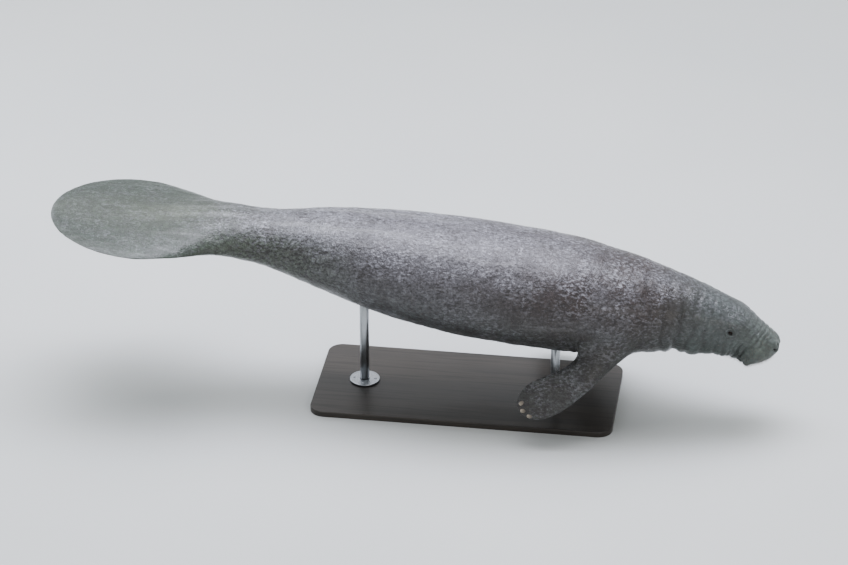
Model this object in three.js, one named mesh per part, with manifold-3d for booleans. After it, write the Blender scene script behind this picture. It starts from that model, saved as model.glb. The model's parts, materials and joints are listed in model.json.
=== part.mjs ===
// A life-size West Indian manatee, swimming, as a still museum model on a display stand.
// Millimetres. +X points to the snout, +Y to the animal's left, +Z up.
// The origin is the middle of the underside of the stand's base.
import * as THREE from "three";
import { mergeVertices } from "three/addons/utils/BufferGeometryUtils.js";
import Module from "manifold-3d";

const wasm = await Module();
wasm.setup();

const { lerp, clamp, degToRad, smoothstep } = THREE.MathUtils;

// Driving dimensions
const totalLength = 3000; // snout to tip of tail, along the spine
const spineHeight = 560; // of the trunk's middle, above the floor
const restPlace = 1280; // distance from the snout at which the spine passes over the origin
const cutGap = 0.4; // between neighbouring pieces

// The pose, a shallow glide down to the right. Each bend is in degrees and is spread between two
// distances from the snout. The muzzle's bend is part of the animal's build
const glideDrop = 7;
const bends = {
  muzzle: { drop: 28, turn: 0, from: 280, to: 0 },
  head: { drop: 7, turn: 3, from: 720, to: 90 },
  tail: { drop: 1, turn: -2, from: 1500, to: 2700 },
};

// Body sections. at: distance from the snout. half: half width. back, belly: height and depth from the
// spine. edge: 1 is an ellipse, under 1 is squarer, over 1 is a thin-edged lens.
const sections = [
  { name: "lips", at: 0, half: 95, back: 70, belly: 90, edge: 0.8 },
  { name: "mouth", at: 85, half: 98, back: 80, belly: 97, edge: 0.84 },
  { name: "eyes", at: 205, half: 114, back: 108, belly: 116, edge: 0.92 },
  { name: "ears", at: 330, half: 142, back: 136, belly: 140, edge: 0.96 },
  { name: "nape", at: 450, half: 178, back: 155, belly: 166, edge: 0.98 },
  { name: "shoulder", at: 660, half: 240, back: 186, belly: 208, edge: 1 },
  { name: "chest", at: 900, half: 280, back: 209, belly: 234, edge: 1 },
  { name: "navel", at: 1230, half: 294, back: 206, belly: 240, edge: 1 },
  { name: "loin", at: 1560, half: 270, back: 188, belly: 214, edge: 1 },
  { name: "rump", at: 1840, half: 211, back: 163, belly: 158, edge: 1 },
  { name: "tail stock", at: 2110, half: 150, back: 116, belly: 98, edge: 1 },
  { name: "fan root", at: 2300, half: 192, back: 98, belly: 58, edge: 1.25 },
  { name: "fan", at: 2470, half: 288, back: 60, belly: 42, edge: 1.5 },
  { name: "fan middle", at: 2640, half: 334, back: 36, belly: 30, edge: 1.6 },
  { name: "fan tip", at: 3000, half: 334, back: 17, belly: 16, edge: 1.4 },
];

// Round ends: the snout is a blunt dome, the fan ends in half an ellipse
const snoutDome = 84;
const snoutBluntness = 2.3;
const fanWidest = 2640;
const fanThinning = 0.55;

// The front of the muzzle leans: its lower edge lies further back
const muzzleLean = 0.34;
const muzzleLeanReach = 260;

// Fleshy swellings and hollows on both sides. at, reach: along the spine. angle, spread: degrees from
// the top of the back. rise: outwards.
const swellings = [
  { name: "lip pad", at: 52, reach: 46, angle: 118, spread: 30, rise: 20 },
  { name: "side of the nose", at: 48, reach: 58, angle: 52, spread: 22, rise: -12 },
  { name: "nostril pad", at: 36, reach: 26, angle: 22, spread: 18, rise: 7 },
  { name: "lip cleft", at: 26, reach: 26, angle: 180, spread: 20, rise: -10 },
  { name: "bridge", at: 128, reach: 50, angle: 0, spread: 56, rise: -8 },
  { name: "brow", at: 190, reach: 42, angle: 48, spread: 18, rise: 7 },
  { name: "eye hollow", at: 200, reach: 30, angle: 76, spread: 15, rise: -6 },
  { name: "cheek", at: 212, reach: 62, angle: 128, spread: 30, rise: 13 },
  { name: "behind the lip", at: 128, reach: 22, angle: 104, spread: 40, rise: -12 },
  { name: "chin", at: 104, reach: 30, angle: 180, spread: 40, rise: 8 },
  { name: "throat", at: 226, reach: 34, angle: 180, spread: 60, rise: -10 },
  { name: "jowl", at: 322, reach: 44, angle: 158, spread: 46, rise: 11 },
  { name: "neck fold", at: 400, reach: 22, angle: 140, spread: 66, rise: -9 },
  { name: "shoulder", at: 640, reach: 95, angle: 124, spread: 26, rise: 14 },
];

// Where the pieces of the body end, from the snout back
const muzzleEnd = 148;
const headEnd = 372;
const neckEnd = 520;
const trunkEnd = 1900;
const stockEnd = 2290;
const snoutStart = 0.4;
const tailTip = totalLength - 0.3;

// Facets: round the body, and from ring to ring at the snout's dome, the face, the trunk and the fan's end
const sides = 32;
const domeRings = 7;
const faceStep = 21;
const trunkStep = 66;
const fanRings = 11;

// Face. place: distance from the snout. angle: degrees from the top of the back
const eye = { place: 204, angle: 72, radius: 10.5, sink: 6.5 };
const nostril = { place: 34, angle: 24, size: [7, 12, 5] };

// The mouth line, seen from the side, in a frame on the spine at its place
const mouth = {
  place: 112, front: 100, corner: -20, back: -58, frontHeight: -122, lipHeight: -66, cornerHeight: -50,
};
const mouthCutDepth = 170;
const mouthCutWidth = 400;

// Flippers. Directions are those of the left one: along +X, out +Y, up +Z
const flipperPlace = 640; // distance of the shoulder joint from the snout
const flipperAngle = 126; // degrees down from the top of the back
const flipperSink = 60; // the root starts this far inside the flesh
const flipperLength = 490;
const flipperStart = [-0.52, 0.62, -0.59];
const flipperEnd = [-0.92, 0.2, -0.34];
const flipperSections = [
  { name: "shoulder", at: 0, chord: 84, thick: 46 },
  { name: "arm", at: 0.3, chord: 66, thick: 33 },
  { name: "wrist", at: 0.5, chord: 69, thick: 24 },
  { name: "hand", at: 0.76, chord: 80, thick: 17 },
  { name: "tip", at: 1, chord: 66, thick: 11 },
];
const flipperTipRound = 0.16; // of its length
const flipperEdge = 1.35; // how thin the blade's edges are, as for the body's sections
const flipperRings = 15;
const flipperSides = 14;

// Nails. place: along the flipper. across: from the middle to the leading edge. They sit on its outer
// face and sink into it by a share of their thickness
const nailSize = [12, 8.5, 4.5]; // half length, half width, half thickness
const nailSink = 0.35;
const nailPlaces = [
  { place: 0.93, across: 47 },
  { place: 0.965, across: 18 },
  { place: 0.955, across: -14 },
];

// Stand
const base = { length: 1240, width: 560, height: 24, corner: 60, bevel: 3 };
const rodRadius = 19;
const rodPlaces = [360, -430]; // x of the front and rear rod
const rodSides = 20;
const flange = { radius: 62, height: 9 };

// Smooth interpolation through the sections, with no overshoot
function through(table, key) {
  const xs = table.map((row) => row.at);
  const ys = table.map((row) => row[key]);
  const steps = xs.slice(1).map((x, i) => (ys[i + 1] - ys[i]) / (x - xs[i]));
  const slopes = ys.map((_, i) => {
    if (i === 0 || i === ys.length - 1) return 0;
    const [before, after] = [steps[i - 1], steps[i]];
    return before * after <= 0 ? 0 : (2 * before * after) / (before + after);
  });
  return (x) => {
    const limited = clamp(x, xs[0], xs.at(-1));
    const i = Math.min(xs.findLastIndex((place) => place <= limited), xs.length - 2);
    const span = xs[i + 1] - xs[i];
    const t = (limited - xs[i]) / span;
    const [t2, t3] = [t * t, t * t * t];
    return (2 * t3 - 3 * t2 + 1) * ys[i] + (t3 - 2 * t2 + t) * span * slopes[i]
      + (3 * t2 - 2 * t3) * ys[i + 1] + (t3 - t2) * span * slopes[i + 1];
  };
}

const bodySize = Object.fromEntries(
  ["half", "back", "belly", "edge"].map((key) => [key, through(sections, key)]),
);

// The spine: forward direction at a distance from the snout, and points found by stepping along it
function forwardAt(at) {
  const { muzzle, head, tail } = bends;
  const towardMuzzle = 1 - smoothstep(at, muzzle.to, muzzle.from);
  const towardHead = 1 - smoothstep(at, head.to, head.from);
  const towardTail = smoothstep(at, tail.from, tail.to);
  const drop = glideDrop + muzzle.drop * towardMuzzle + head.drop * towardHead - tail.drop * towardTail;
  const pitch = degToRad(-drop);
  const yaw = degToRad(-head.turn * towardHead - tail.turn * towardTail);
  return new THREE.Vector3(
    Math.cos(pitch) * Math.cos(yaw), Math.cos(pitch) * Math.sin(yaw), Math.sin(pitch));
}

const spineStep = 10;
const spinePoints = [new THREE.Vector3()];
for (let at = spineStep / 2; at < totalLength; at += spineStep)
  spinePoints.push(spinePoints.at(-1).clone().addScaledVector(forwardAt(at), -spineStep));
const overOrigin = spinePoints[restPlace / spineStep].clone();
spinePoints.forEach((p) => p.sub(overOrigin).add(new THREE.Vector3(0, 0, spineHeight)));

function spineFrame(at) {
  const i = Math.min(Math.floor(at / spineStep), spinePoints.length - 2);
  const centre = spinePoints[i].clone().lerp(spinePoints[i + 1], at / spineStep - i);
  const forward = forwardAt(at);
  const left = new THREE.Vector3(0, 0, 1).cross(forward).normalize();
  const up = forward.clone().cross(left);
  return { centre, forward, left, up };
}

// How much of its full size a section has near the round ends
function snoutShare(at) {
  const t = clamp(at / snoutDome, 0, 1);
  return (1 - (1 - t) ** snoutBluntness) ** (1 / snoutBluntness);
}

function fanShare(at) {
  const t = clamp((at - fanWidest) / (totalLength - fanWidest), 0, 1);
  return Math.sqrt(1 - t * t);
}

// A point of the skin. angle: radians from the animal's left, over the back
function skinPoint(at, angle, grow = 0) {
  const { centre, forward, left, up } = spineFrame(at);
  const edge = bodySize.edge(at);
  const [cos, sin] = [Math.cos(angle), Math.sin(angle)];
  const share = snoutShare(at);
  const thin = fanShare(at) ** fanThinning;
  const height = (sin > 0 ? bodySize.back(at) : bodySize.belly(at)) * share * thin;
  const width = bodySize.half(at) * share * fanShare(at);
  const square = Math.min(edge, 1);
  const y = width * Math.sign(cos) * Math.abs(cos) ** square;
  const z = height * Math.sign(sin) * Math.abs(sin) ** edge;
  const outward = new THREE.Vector2(cos, sin);
  const fromTop = THREE.MathUtils.radToDeg(Math.acos(clamp(sin, -1, 1)));
  let rise = grow;
  for (const s of swellings)
    rise += s.rise * share
      * Math.exp(-(((at - s.at) / s.reach) ** 2) - ((fromTop - s.angle) / s.spread) ** 2);
  const lean = muzzleLean * z * (1 - smoothstep(at, 0, muzzleLeanReach));
  return centre.addScaledVector(left, y + outward.x * rise)
    .addScaledVector(up, z + outward.y * rise).addScaledVector(forward, lean);
}

// A closed surface through rings of points, with a flat or pointed cap at each end
function loft(rings) {
  const round = rings[0].length;
  const middle = (ring) => ring.reduce((sum, p) => sum.add(p), new THREE.Vector3()).divideScalar(round);
  const points = [...rings.flat(), middle(rings[0]), middle(rings.at(-1))];
  const [first, last] = [points.length - 2, points.length - 1];
  const index = [];
  for (let i = 0; i < round; i++) {
    const next = (i + 1) % round;
    for (let r = 0; r + 1 < rings.length; r++) {
      const [a, b, c, d] = [r * round + i, r * round + next, (r + 1) * round + next, (r + 1) * round + i];
      index.push(a, c, b, a, d, c);
    }
    const end = (rings.length - 1) * round;
    index.push(first, i, next, last, end + next, end + i);
  }
  return new THREE.BufferGeometry().setFromPoints(points).setIndex(index);
}

function solid(geometry) {
  const bare = geometry.clone();
  bare.deleteAttribute("normal");
  bare.deleteAttribute("uv");
  const merged = mergeVertices(bare, 1e-3);
  return new wasm.Manifold(new wasm.Mesh({
    numProp: 3,
    vertProperties: merged.attributes.position.array,
    triVerts: new Uint32Array(merged.index.array),
  }));
}

function geometryOf(manifold) {
  const mesh = manifold.getMesh();
  const geometry = new THREE.BufferGeometry();
  geometry.setAttribute("position", new THREE.BufferAttribute(mesh.vertProperties, 3));
  geometry.setIndex(new THREE.BufferAttribute(mesh.triVerts, 1));
  geometry.computeVertexNormals();
  return geometry;
}

// Places of the rings between two distances: close together at the face, wider on the trunk
function ringPlaces(from, to) {
  const places = [];
  for (let i = 1; i <= domeRings; i++)
    places.push(snoutDome * (1 - Math.cos((i / domeRings) * Math.PI / 2)));
  for (let at = snoutDome + faceStep; at < neckEnd; at += faceStep) places.push(at);
  for (let at = neckEnd + trunkStep; at < fanWidest; at += trunkStep) places.push(at);
  for (let i = 0; i < fanRings; i++)
    places.push(lerp(fanWidest, totalLength, Math.sin((i / fanRings) * Math.PI / 2)));
  const closest = 7;
  return [from, ...places.filter((at) => at > from + closest && at < to - closest), to];
}

// One length of the body as a closed solid
function bodyLength(from, to, grow = 0) {
  const rings = ringPlaces(from, to).map((at) =>
    Array.from({ length: sides }, (_, i) => skinPoint(at, (i / sides) * 2 * Math.PI, grow)));
  return solid(loft(rings));
}

// A frame with its X along the spine at a distance from the snout
function placedAt(at) {
  const { centre, forward, left, up } = spineFrame(at);
  return new THREE.Matrix4().makeBasis(forward, left, up).setPosition(centre);
}

function ellipsoid(halfSizes, matrix, grow = 0) {
  const shape = new THREE.SphereGeometry(1, 12, 7);
  shape.scale(...halfSizes.map((size) => size + grow));
  return solid(shape.applyMatrix4(matrix));
}

// A frame on the skin: X forward along it, Z straight out of it
function skinFrame(at, angle, sink = 0) {
  const here = skinPoint(at, angle);
  const along = skinPoint(at - 6, angle).sub(here).normalize();
  const round = skinPoint(at, angle + 0.05).sub(here).normalize();
  const out = round.cross(along).normalize();
  const side = out.clone().cross(along);
  return new THREE.Matrix4().makeBasis(along, side, out).setPosition(here.addScaledVector(out, -sink));
}

// The lower jaw is what lies under the mouth line, seen from the side
function jawCutter(grow) {
  const outline = new THREE.Shape();
  outline.moveTo(mouth.front, mouth.frontHeight + grow);
  outline.quadraticCurveTo(mouth.front / 3, mouth.lipHeight + grow, mouth.corner, mouth.cornerHeight + grow);
  outline.lineTo(mouth.back - grow, -mouthCutDepth);
  outline.lineTo(mouth.front, -mouthCutDepth);
  const slab = new THREE.ExtrudeGeometry(outline, {
    depth: mouthCutWidth, bevelEnabled: false, curveSegments: 6,
  });
  slab.rotateX(Math.PI / 2).translate(0, mouthCutWidth / 2, 0);
  return solid(slab.applyMatrix4(placedAt(mouth.place)));
}

// Where something sits on the left, 1, or right, -1, side of the body
function sideFrame({ place, angle, sink = 0 }, side) {
  return skinFrame(place, Math.PI / 2 - side * degToRad(angle), sink);
}

function eyeSolids(grow = 0) {
  return [1, -1].map((side) => ellipsoid(Array(3).fill(eye.radius), sideFrame(eye, side), grow));
}

// Nodes of the body
function bodyPieces() {
  const half = cutGap / 2;
  const front = bodyLength(snoutStart, muzzleEnd - half);
  const pieces = {
    muzzle: front.subtract(jawCutter(cutGap)),
    lower_jaw: front.intersect(jawCutter(0)),
    head: bodyLength(muzzleEnd + half, headEnd - half),
    neck: bodyLength(headEnd + half, neckEnd - half),
    trunk: bodyLength(neckEnd + half, trunkEnd - half),
    tail_stock: bodyLength(trunkEnd + half, stockEnd - half),
    tail_fan: bodyLength(stockEnd + half, tailTip),
  };
  for (const side of [1, -1])
    pieces.muzzle = pieces.muzzle.subtract(ellipsoid(nostril.size, sideFrame(nostril, side)));
  for (const socket of eyeSolids(cutGap)) pieces.head = pieces.head.subtract(socket);
  return pieces;
}

// Flippers, side 1 is the left and -1 the right
const flipperSize = Object.fromEntries(
  ["chord", "thick"].map((key) => [key, through(flipperSections, key)]),
);

function flipperFrame(t, side) {
  const mirror = new THREE.Vector3(1, side, 1);
  const from = new THREE.Vector3(...flipperStart).normalize().multiply(mirror);
  const to = new THREE.Vector3(...flipperEnd).normalize().multiply(mirror);
  const heading = (share) => from.clone().lerp(to, smoothstep(share, 0, 1)).normalize();
  const root = sideFrame({ place: flipperPlace, angle: flipperAngle, sink: flipperSink }, side);
  const centre = new THREE.Vector3().setFromMatrixPosition(root);
  const steps = 40;
  for (let i = 0; i < steps; i++)
    centre.addScaledVector(heading(((i + 0.5) / steps) * t), (t * flipperLength) / steps);
  const along = heading(t);
  const ahead = new THREE.Vector3(1, 0, 0).addScaledVector(along, -along.x).normalize();
  const out = ahead.clone().cross(along).multiplyScalar(side);
  return { centre, along, ahead, out };
}

// How much of its full size the flipper has near its round tip
function tipShare(t) {
  const tip = clamp((t - 1 + flipperTipRound) / flipperTipRound, 0, 1);
  return Math.sqrt(1 - tip * tip);
}

function flipperPoint(t, angle, side) {
  const { centre, ahead, out } = flipperFrame(t, side);
  const share = tipShare(t);
  const chord = flipperSize.chord(t) * share;
  const thick = flipperSize.thick(t) * share ** 0.6;
  const blade = smoothstep(t, 0.15, 0.7);
  const [cos, sin] = [Math.cos(angle), Math.sin(angle)];
  const lens = Math.abs(sin) ** lerp(1, flipperEdge, blade) * Math.sign(sin);
  return centre.addScaledVector(ahead, chord * cos).addScaledVector(out, thick * lens);
}

function nailFrames(side) {
  return nailPlaces.map(({ place, across }) => {
    const angle = Math.acos(across / (flipperSize.chord(place) * tipShare(place)));
    const here = flipperPoint(place, angle, side);
    const along = flipperPoint(place + 0.01, angle, side).sub(here).normalize();
    const round = flipperPoint(place, angle + 0.02, side).sub(here);
    const out = round.cross(along).multiplyScalar(-side).normalize();
    const spot = here.addScaledVector(out, -nailSink * nailSize[2]);
    return new THREE.Matrix4().makeBasis(along, out.clone().cross(along), out).setPosition(spot);
  });
}

function flipper(side) {
  const blunt = 1 - flipperTipRound;
  const rings = Array.from({ length: flipperRings + 1 }, (_, r) => {
    const t = r / flipperRings;
    const past = clamp((t - blunt) / flipperTipRound, 0, 1);
    const place = t < blunt ? t : lerp(blunt, 1 - 0.003, Math.sin(past * Math.PI / 2));
    return Array.from({ length: flipperSides }, (_, i) =>
      flipperPoint(place, side * (i / flipperSides) * 2 * Math.PI, side));
  });
  const whole = solid(loft(rings));
  const flesh = bodyLength(headEnd, trunkEnd, cutGap);
  const nails = nailFrames(side).map((frame) => ellipsoid(nailSize, frame, cutGap));
  return nails.reduce((rest, nail) => rest.subtract(nail), whole.subtract(flesh));
}

// Stand
function roundedPlate({ length, width, height, corner, bevel }) {
  const [x, y, r] = [length / 2 - bevel, width / 2 - bevel, corner - bevel];
  const outline = new THREE.Shape();
  outline.absarc(x - r, y - r, r, 0, Math.PI / 2);
  outline.absarc(r - x, y - r, r, Math.PI / 2, Math.PI);
  outline.absarc(r - x, r - y, r, Math.PI, 1.5 * Math.PI);
  outline.absarc(x - r, r - y, r, 1.5 * Math.PI, 2 * Math.PI);
  const plate = new THREE.ExtrudeGeometry(outline, {
    depth: height - 2 * bevel, bevelThickness: bevel, bevelSize: bevel, bevelSegments: 1, curveSegments: 5,
  });
  return plate.translate(0, 0, bevel);
}

function uprightCylinder(radius, from, to, x, y) {
  return new THREE.CylinderGeometry(radius, radius, to - from, rodSides)
    .rotateX(Math.PI / 2).translate(x, y, (from + to) / 2);
}

function spineY(x) {
  return spinePoints.reduce((a, b) => (Math.abs(a.x - x) < Math.abs(b.x - x) ? a : b)).y;
}

// Materials
const skin = new THREE.MeshStandardMaterial({ color: 0x7d7a75, roughness: 0.62, metalness: 0 });
const paleSkin = new THREE.MeshStandardMaterial({ color: 0x8a8780, roughness: 0.6, metalness: 0 });
const eyeBlack = new THREE.MeshStandardMaterial({ color: 0x14100e, roughness: 0.12, metalness: 0 });
const nailHorn = new THREE.MeshStandardMaterial({ color: 0xb7ab95, roughness: 0.42, metalness: 0 });
const steel = new THREE.MeshStandardMaterial({ color: 0xa7a9ab, roughness: 0.3, metalness: 1 });
const board = new THREE.MeshStandardMaterial({ color: 0x3a3c3e, roughness: 0.5, metalness: 0 });

const manatee = new THREE.Group();

function addNode(name, geometry, material) {
  const mesh = new THREE.Mesh(geometry, material);
  mesh.name = name;
  manatee.add(mesh);
}

for (const [name, piece] of Object.entries(bodyPieces()))
  addNode(name, geometryOf(piece), name === "tail_fan" ? paleSkin : skin);

for (const [side, name] of [[1, "left"], [-1, "right"]]) {
  addNode(`flipper_${name}`, geometryOf(flipper(side)), skin);
  nailFrames(side).forEach((frame, i) =>
    addNode(`nail_${name}_${i + 1}`, geometryOf(ellipsoid(nailSize, frame)), nailHorn));
}

eyeSolids().forEach((eye, i) => addNode(["eye_left", "eye_right"][i], geometryOf(eye), eyeBlack));

addNode("stand_base", roundedPlate(base), board);
rodPlaces.forEach((x, i) => {
  const name = ["front", "rear"][i];
  const y = spineY(x);
  const ringTop = base.height + cutGap + flange.height;
  const rod = solid(uprightCylinder(rodRadius, base.height + cutGap, spineHeight, x, y));
  const ring = solid(uprightCylinder(flange.radius, base.height + cutGap, ringTop, x, y));
  const hole = solid(uprightCylinder(rodRadius + cutGap, 0, spineHeight, x, y));
  addNode(`stand_rod_${name}`, geometryOf(rod.subtract(bodyLength(neckEnd, trunkEnd, cutGap))), steel);
  addNode(`stand_flange_${name}`, geometryOf(ring.subtract(hole)), steel);
});

export default manatee;
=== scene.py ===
# %% [markdown]
# # A life-size manatee on a display stand
# A manatee is a heavy, rounded animal with a thick wrinkled hide, a drooping bristly muzzle, two
# flippers and one flat paddle for a tail. This lesson gives it one skin with no seams, real eyes and
# nails, bristles and sparse hairs, and a plain museum stand. The solids loaded here stay as they are
# and set every size. The skin repeats their sizes and only adds what is too fine for them.

# %% Load the frame
import json
import math

import bmesh
import bpy
import numpy as np
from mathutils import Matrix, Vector, noise

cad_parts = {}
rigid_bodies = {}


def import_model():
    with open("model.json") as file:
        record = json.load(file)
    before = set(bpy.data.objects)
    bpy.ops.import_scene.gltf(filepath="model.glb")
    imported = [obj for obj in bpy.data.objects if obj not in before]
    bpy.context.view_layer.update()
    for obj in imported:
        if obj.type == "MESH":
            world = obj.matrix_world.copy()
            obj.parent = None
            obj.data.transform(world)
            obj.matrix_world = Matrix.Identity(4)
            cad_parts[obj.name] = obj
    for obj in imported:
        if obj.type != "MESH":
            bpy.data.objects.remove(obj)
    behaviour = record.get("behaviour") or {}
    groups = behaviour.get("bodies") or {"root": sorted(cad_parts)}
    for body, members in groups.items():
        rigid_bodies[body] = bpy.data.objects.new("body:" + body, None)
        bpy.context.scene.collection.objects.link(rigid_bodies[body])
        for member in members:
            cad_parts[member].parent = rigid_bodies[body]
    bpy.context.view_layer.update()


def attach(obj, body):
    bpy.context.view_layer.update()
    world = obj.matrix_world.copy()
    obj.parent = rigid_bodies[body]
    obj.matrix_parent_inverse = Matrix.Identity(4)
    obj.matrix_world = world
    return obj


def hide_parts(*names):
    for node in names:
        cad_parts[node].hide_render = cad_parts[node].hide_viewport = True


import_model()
MM = 0.001

# %% [markdown]
# ## Camera
# The animal was seen from its right, from well above and from far away, so the picture has almost no
# perspective. A long lens at a large distance gives that. The camera only turns towards its target, so
# the angle and the framing are a few plain numbers.

# %% Camera
VIEW_AZIMUTH, VIEW_ELEVATION = math.radians(8.25), math.radians(29)
VIEW_DISTANCE = 14.0
VIEW_TARGET = Vector((-0.183, 0.0, 0.5025))
LENS = 146.3

camera_data = bpy.data.cameras.new("camera")
camera_data.lens = LENS
camera_data.clip_end = 400
camera = bpy.data.objects.new("camera", camera_data)
bpy.context.scene.collection.objects.link(camera)
towards_camera = Vector((
    math.sin(VIEW_AZIMUTH) * math.cos(VIEW_ELEVATION),
    -math.cos(VIEW_AZIMUTH) * math.cos(VIEW_ELEVATION),
    math.sin(VIEW_ELEVATION),
))
camera.location = VIEW_TARGET + towards_camera * VIEW_DISTANCE
camera.rotation_euler = (-towards_camera).to_track_quat("-Z", "Y").to_euler()
bpy.context.scene.camera = camera
print("camera", VIEW_DISTANCE, "m away, lens", LENS, "mm")

# %% [markdown]
# ## Sizes of the body
# The body is a row of oval sections along a bent spine, as a boat builder would loft a hull. Each
# column below is one distance from the snout, and each row one measure in millimetres. These are the
# sizes that the solids were built from, so the skin falls on them, only a millimetre further in.

# %% Section sizes
LENGTH = 3000
SECTION_AT = (0, 85, 205, 330, 450, 660, 900, 1230, 1560, 1840, 2110, 2300, 2470, 2640, 3000)
SECTIONS = {
    "half": (95, 98, 114, 142, 178, 240, 280, 294, 270, 211, 150, 192, 288, 334, 334),
    "back": (70, 80, 108, 136, 155, 186, 209, 206, 188, 163, 116, 98, 60, 36, 17),
    "belly": (90, 97, 116, 140, 166, 208, 234, 240, 214, 158, 98, 58, 42, 30, 16),
    "edge": (0.8, 0.84, 0.92, 0.96, 0.98, 1, 1, 1, 1, 1, 1, 1.25, 1.5, 1.6, 1.4),
}
SNOUT_DOME, SNOUT_BLUNTNESS = 84, 2.3
FAN_WIDEST, FAN_THINNING = 2640, 0.55
MUZZLE_LEAN, MUZZLE_LEAN_REACH = 0.34, 260
SPINE_HEIGHT, REST_PLACE = 560, 1280

# Bends of the spine in degrees: drop, turn to the left, and where each is full and where it is nothing
GLIDE_DROP = 7
BENDS = {
    "muzzle": (28, 0, 0, 280),
    "head": (7, -3, 90, 720),
    "tail": (-1, 2, 2700, 1500),
}

# Swellings and hollows of the flesh: place, reach, degrees from the back's middle, spread, rise
SWELLINGS = {
    "lip pad": (52, 46, 118, 30, 20),
    "side of the nose": (48, 58, 52, 22, -12),
    "nostril pad": (36, 26, 22, 18, 7),
    "lip cleft": (26, 26, 180, 20, -10),
    "bridge": (128, 50, 0, 56, -8),
    "brow": (190, 42, 48, 18, 7),
    "eye hollow": (200, 30, 76, 15, -6),
    "cheek": (212, 62, 128, 30, 13),
    "behind the lip": (128, 22, 104, 40, -12),
    "chin": (104, 30, 180, 40, 8),
    "throat": (226, 34, 180, 60, -10),
    "jowl": (322, 44, 158, 46, 11),
    "neck fold": (400, 22, 140, 66, -9),
    "shoulder": (640, 95, 124, 26, 14),
}


def smooth(value, low, high):
    """0 below low, 1 above high, and an even S between them."""
    share = np.clip((value - low) / (high - low), 0, 1)
    return share * share * (3 - 2 * share)


def bell(value, middle, width):
    """1 at the middle, falling like a bell to almost nothing at twice the width from it."""
    return np.exp(-(((value - middle) / width) ** 2))


def through(places, sizes):
    """A smooth function through the sizes that never swings past them."""
    xs, ys = np.array(places, float), np.array(sizes, float)
    steps = np.diff(ys) / np.diff(xs)
    slopes = np.zeros(len(xs))
    for i in range(1, len(xs) - 1):
        before, after = steps[i - 1], steps[i]
        slopes[i] = 0 if before * after <= 0 else 2 * before * after / (before + after)

    def size_at(x):
        x = np.clip(x, xs[0], xs[-1])
        i = np.clip(np.searchsorted(xs, x, side="right") - 1, 0, len(xs) - 2)
        span = xs[i + 1] - xs[i]
        t = (x - xs[i]) / span
        return (
            (2 * t**3 - 3 * t**2 + 1) * ys[i] + (t**3 - 2 * t**2 + t) * span * slopes[i]
            + (3 * t**2 - 2 * t**3) * ys[i + 1] + (t**3 - t**2) * span * slopes[i + 1]
        )

    return size_at


body_size = {name: through(SECTION_AT, sizes) for name, sizes in SECTIONS.items()}
deepest = max(back + belly for back, belly in zip(SECTIONS["back"], SECTIONS["belly"]))
print("widest", 2 * max(SECTIONS["half"]), "mm, deepest", deepest, "mm")

# %% [markdown]
# ## The spine
# The spine carries the pose. It starts at the snout and is stepped backwards in centimetres, each
# step a little turned. A curve object could do this too, but plain steps keep the distances along the
# back true, and the sections need those.

# %% Spine
SPINE_STEP = 10


def normalised(vectors):
    return vectors / np.linalg.norm(vectors, axis=-1, keepdims=True)


def forward_at(at):
    """The direction towards the snout at a distance from it."""
    at = np.asarray(at, float)
    drop, turn = np.full(at.shape, float(GLIDE_DROP)), np.zeros(at.shape)
    for bend_drop, bend_turn, full, none in BENDS.values():
        share = smooth(at, none, full) if full > none else 1 - smooth(at, full, none)
        drop += bend_drop * share
        turn += bend_turn * share
    pitch, yaw = np.radians(-drop), np.radians(turn)
    return np.stack([np.cos(pitch) * np.cos(yaw), np.cos(pitch) * np.sin(yaw), np.sin(pitch)], -1)


step_middles = np.arange(SPINE_STEP / 2, LENGTH, SPINE_STEP)
spine = np.vstack([np.zeros(3), -np.cumsum(forward_at(step_middles) * SPINE_STEP, axis=0)])
spine += np.array([0, 0, SPINE_HEIGHT]) - spine[REST_PLACE // SPINE_STEP]


def spine_frame(at):
    """Centre, forward, left and up of the section at a distance from the snout."""
    i = np.minimum((at // SPINE_STEP).astype(int), len(spine) - 2)
    share = (at / SPINE_STEP - i)[..., None]
    centre = spine[i] * (1 - share) + spine[i + 1] * share
    forward = forward_at(at)
    left = normalised(np.cross([0, 0, 1.0], forward))
    return centre, forward, left, np.cross(forward, left)


print("snout at", np.round(spine[0]), "tail tip at", np.round(spine[-1]))

# %% [markdown]
# ## The surface of the body
# A point of the hide is named by two numbers: its distance from the snout and its angle from the
# middle of the back. One function turns the pair into a place. A sculptor would push clay instead,
# but with a function every fold can be aimed at the same two numbers, on both sides at once.

# %% Body surface
EYE_AT, EYE_ANGLE, EYE_RADIUS, EYE_SINK = 204, 72, 10.5, 6.5
# Small steps along and round the body, in mm and degrees, that show how the hide lies at a place
STEP_ALONG, STEP_ROUND = 6, 2.865


def snout_share(at):
    """How much of its full size a section has within the round snout."""
    t = np.clip(at / SNOUT_DOME, 0, 1)
    return (1 - (1 - t) ** SNOUT_BLUNTNESS) ** (1 / SNOUT_BLUNTNESS)


def fan_share(at):
    t = np.clip((at - FAN_WIDEST) / (LENGTH - FAN_WIDEST), 0, 1)
    return np.sqrt(1 - t * t)


def signed_power(values, power):
    return np.sign(values) * np.abs(values) ** power


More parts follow.
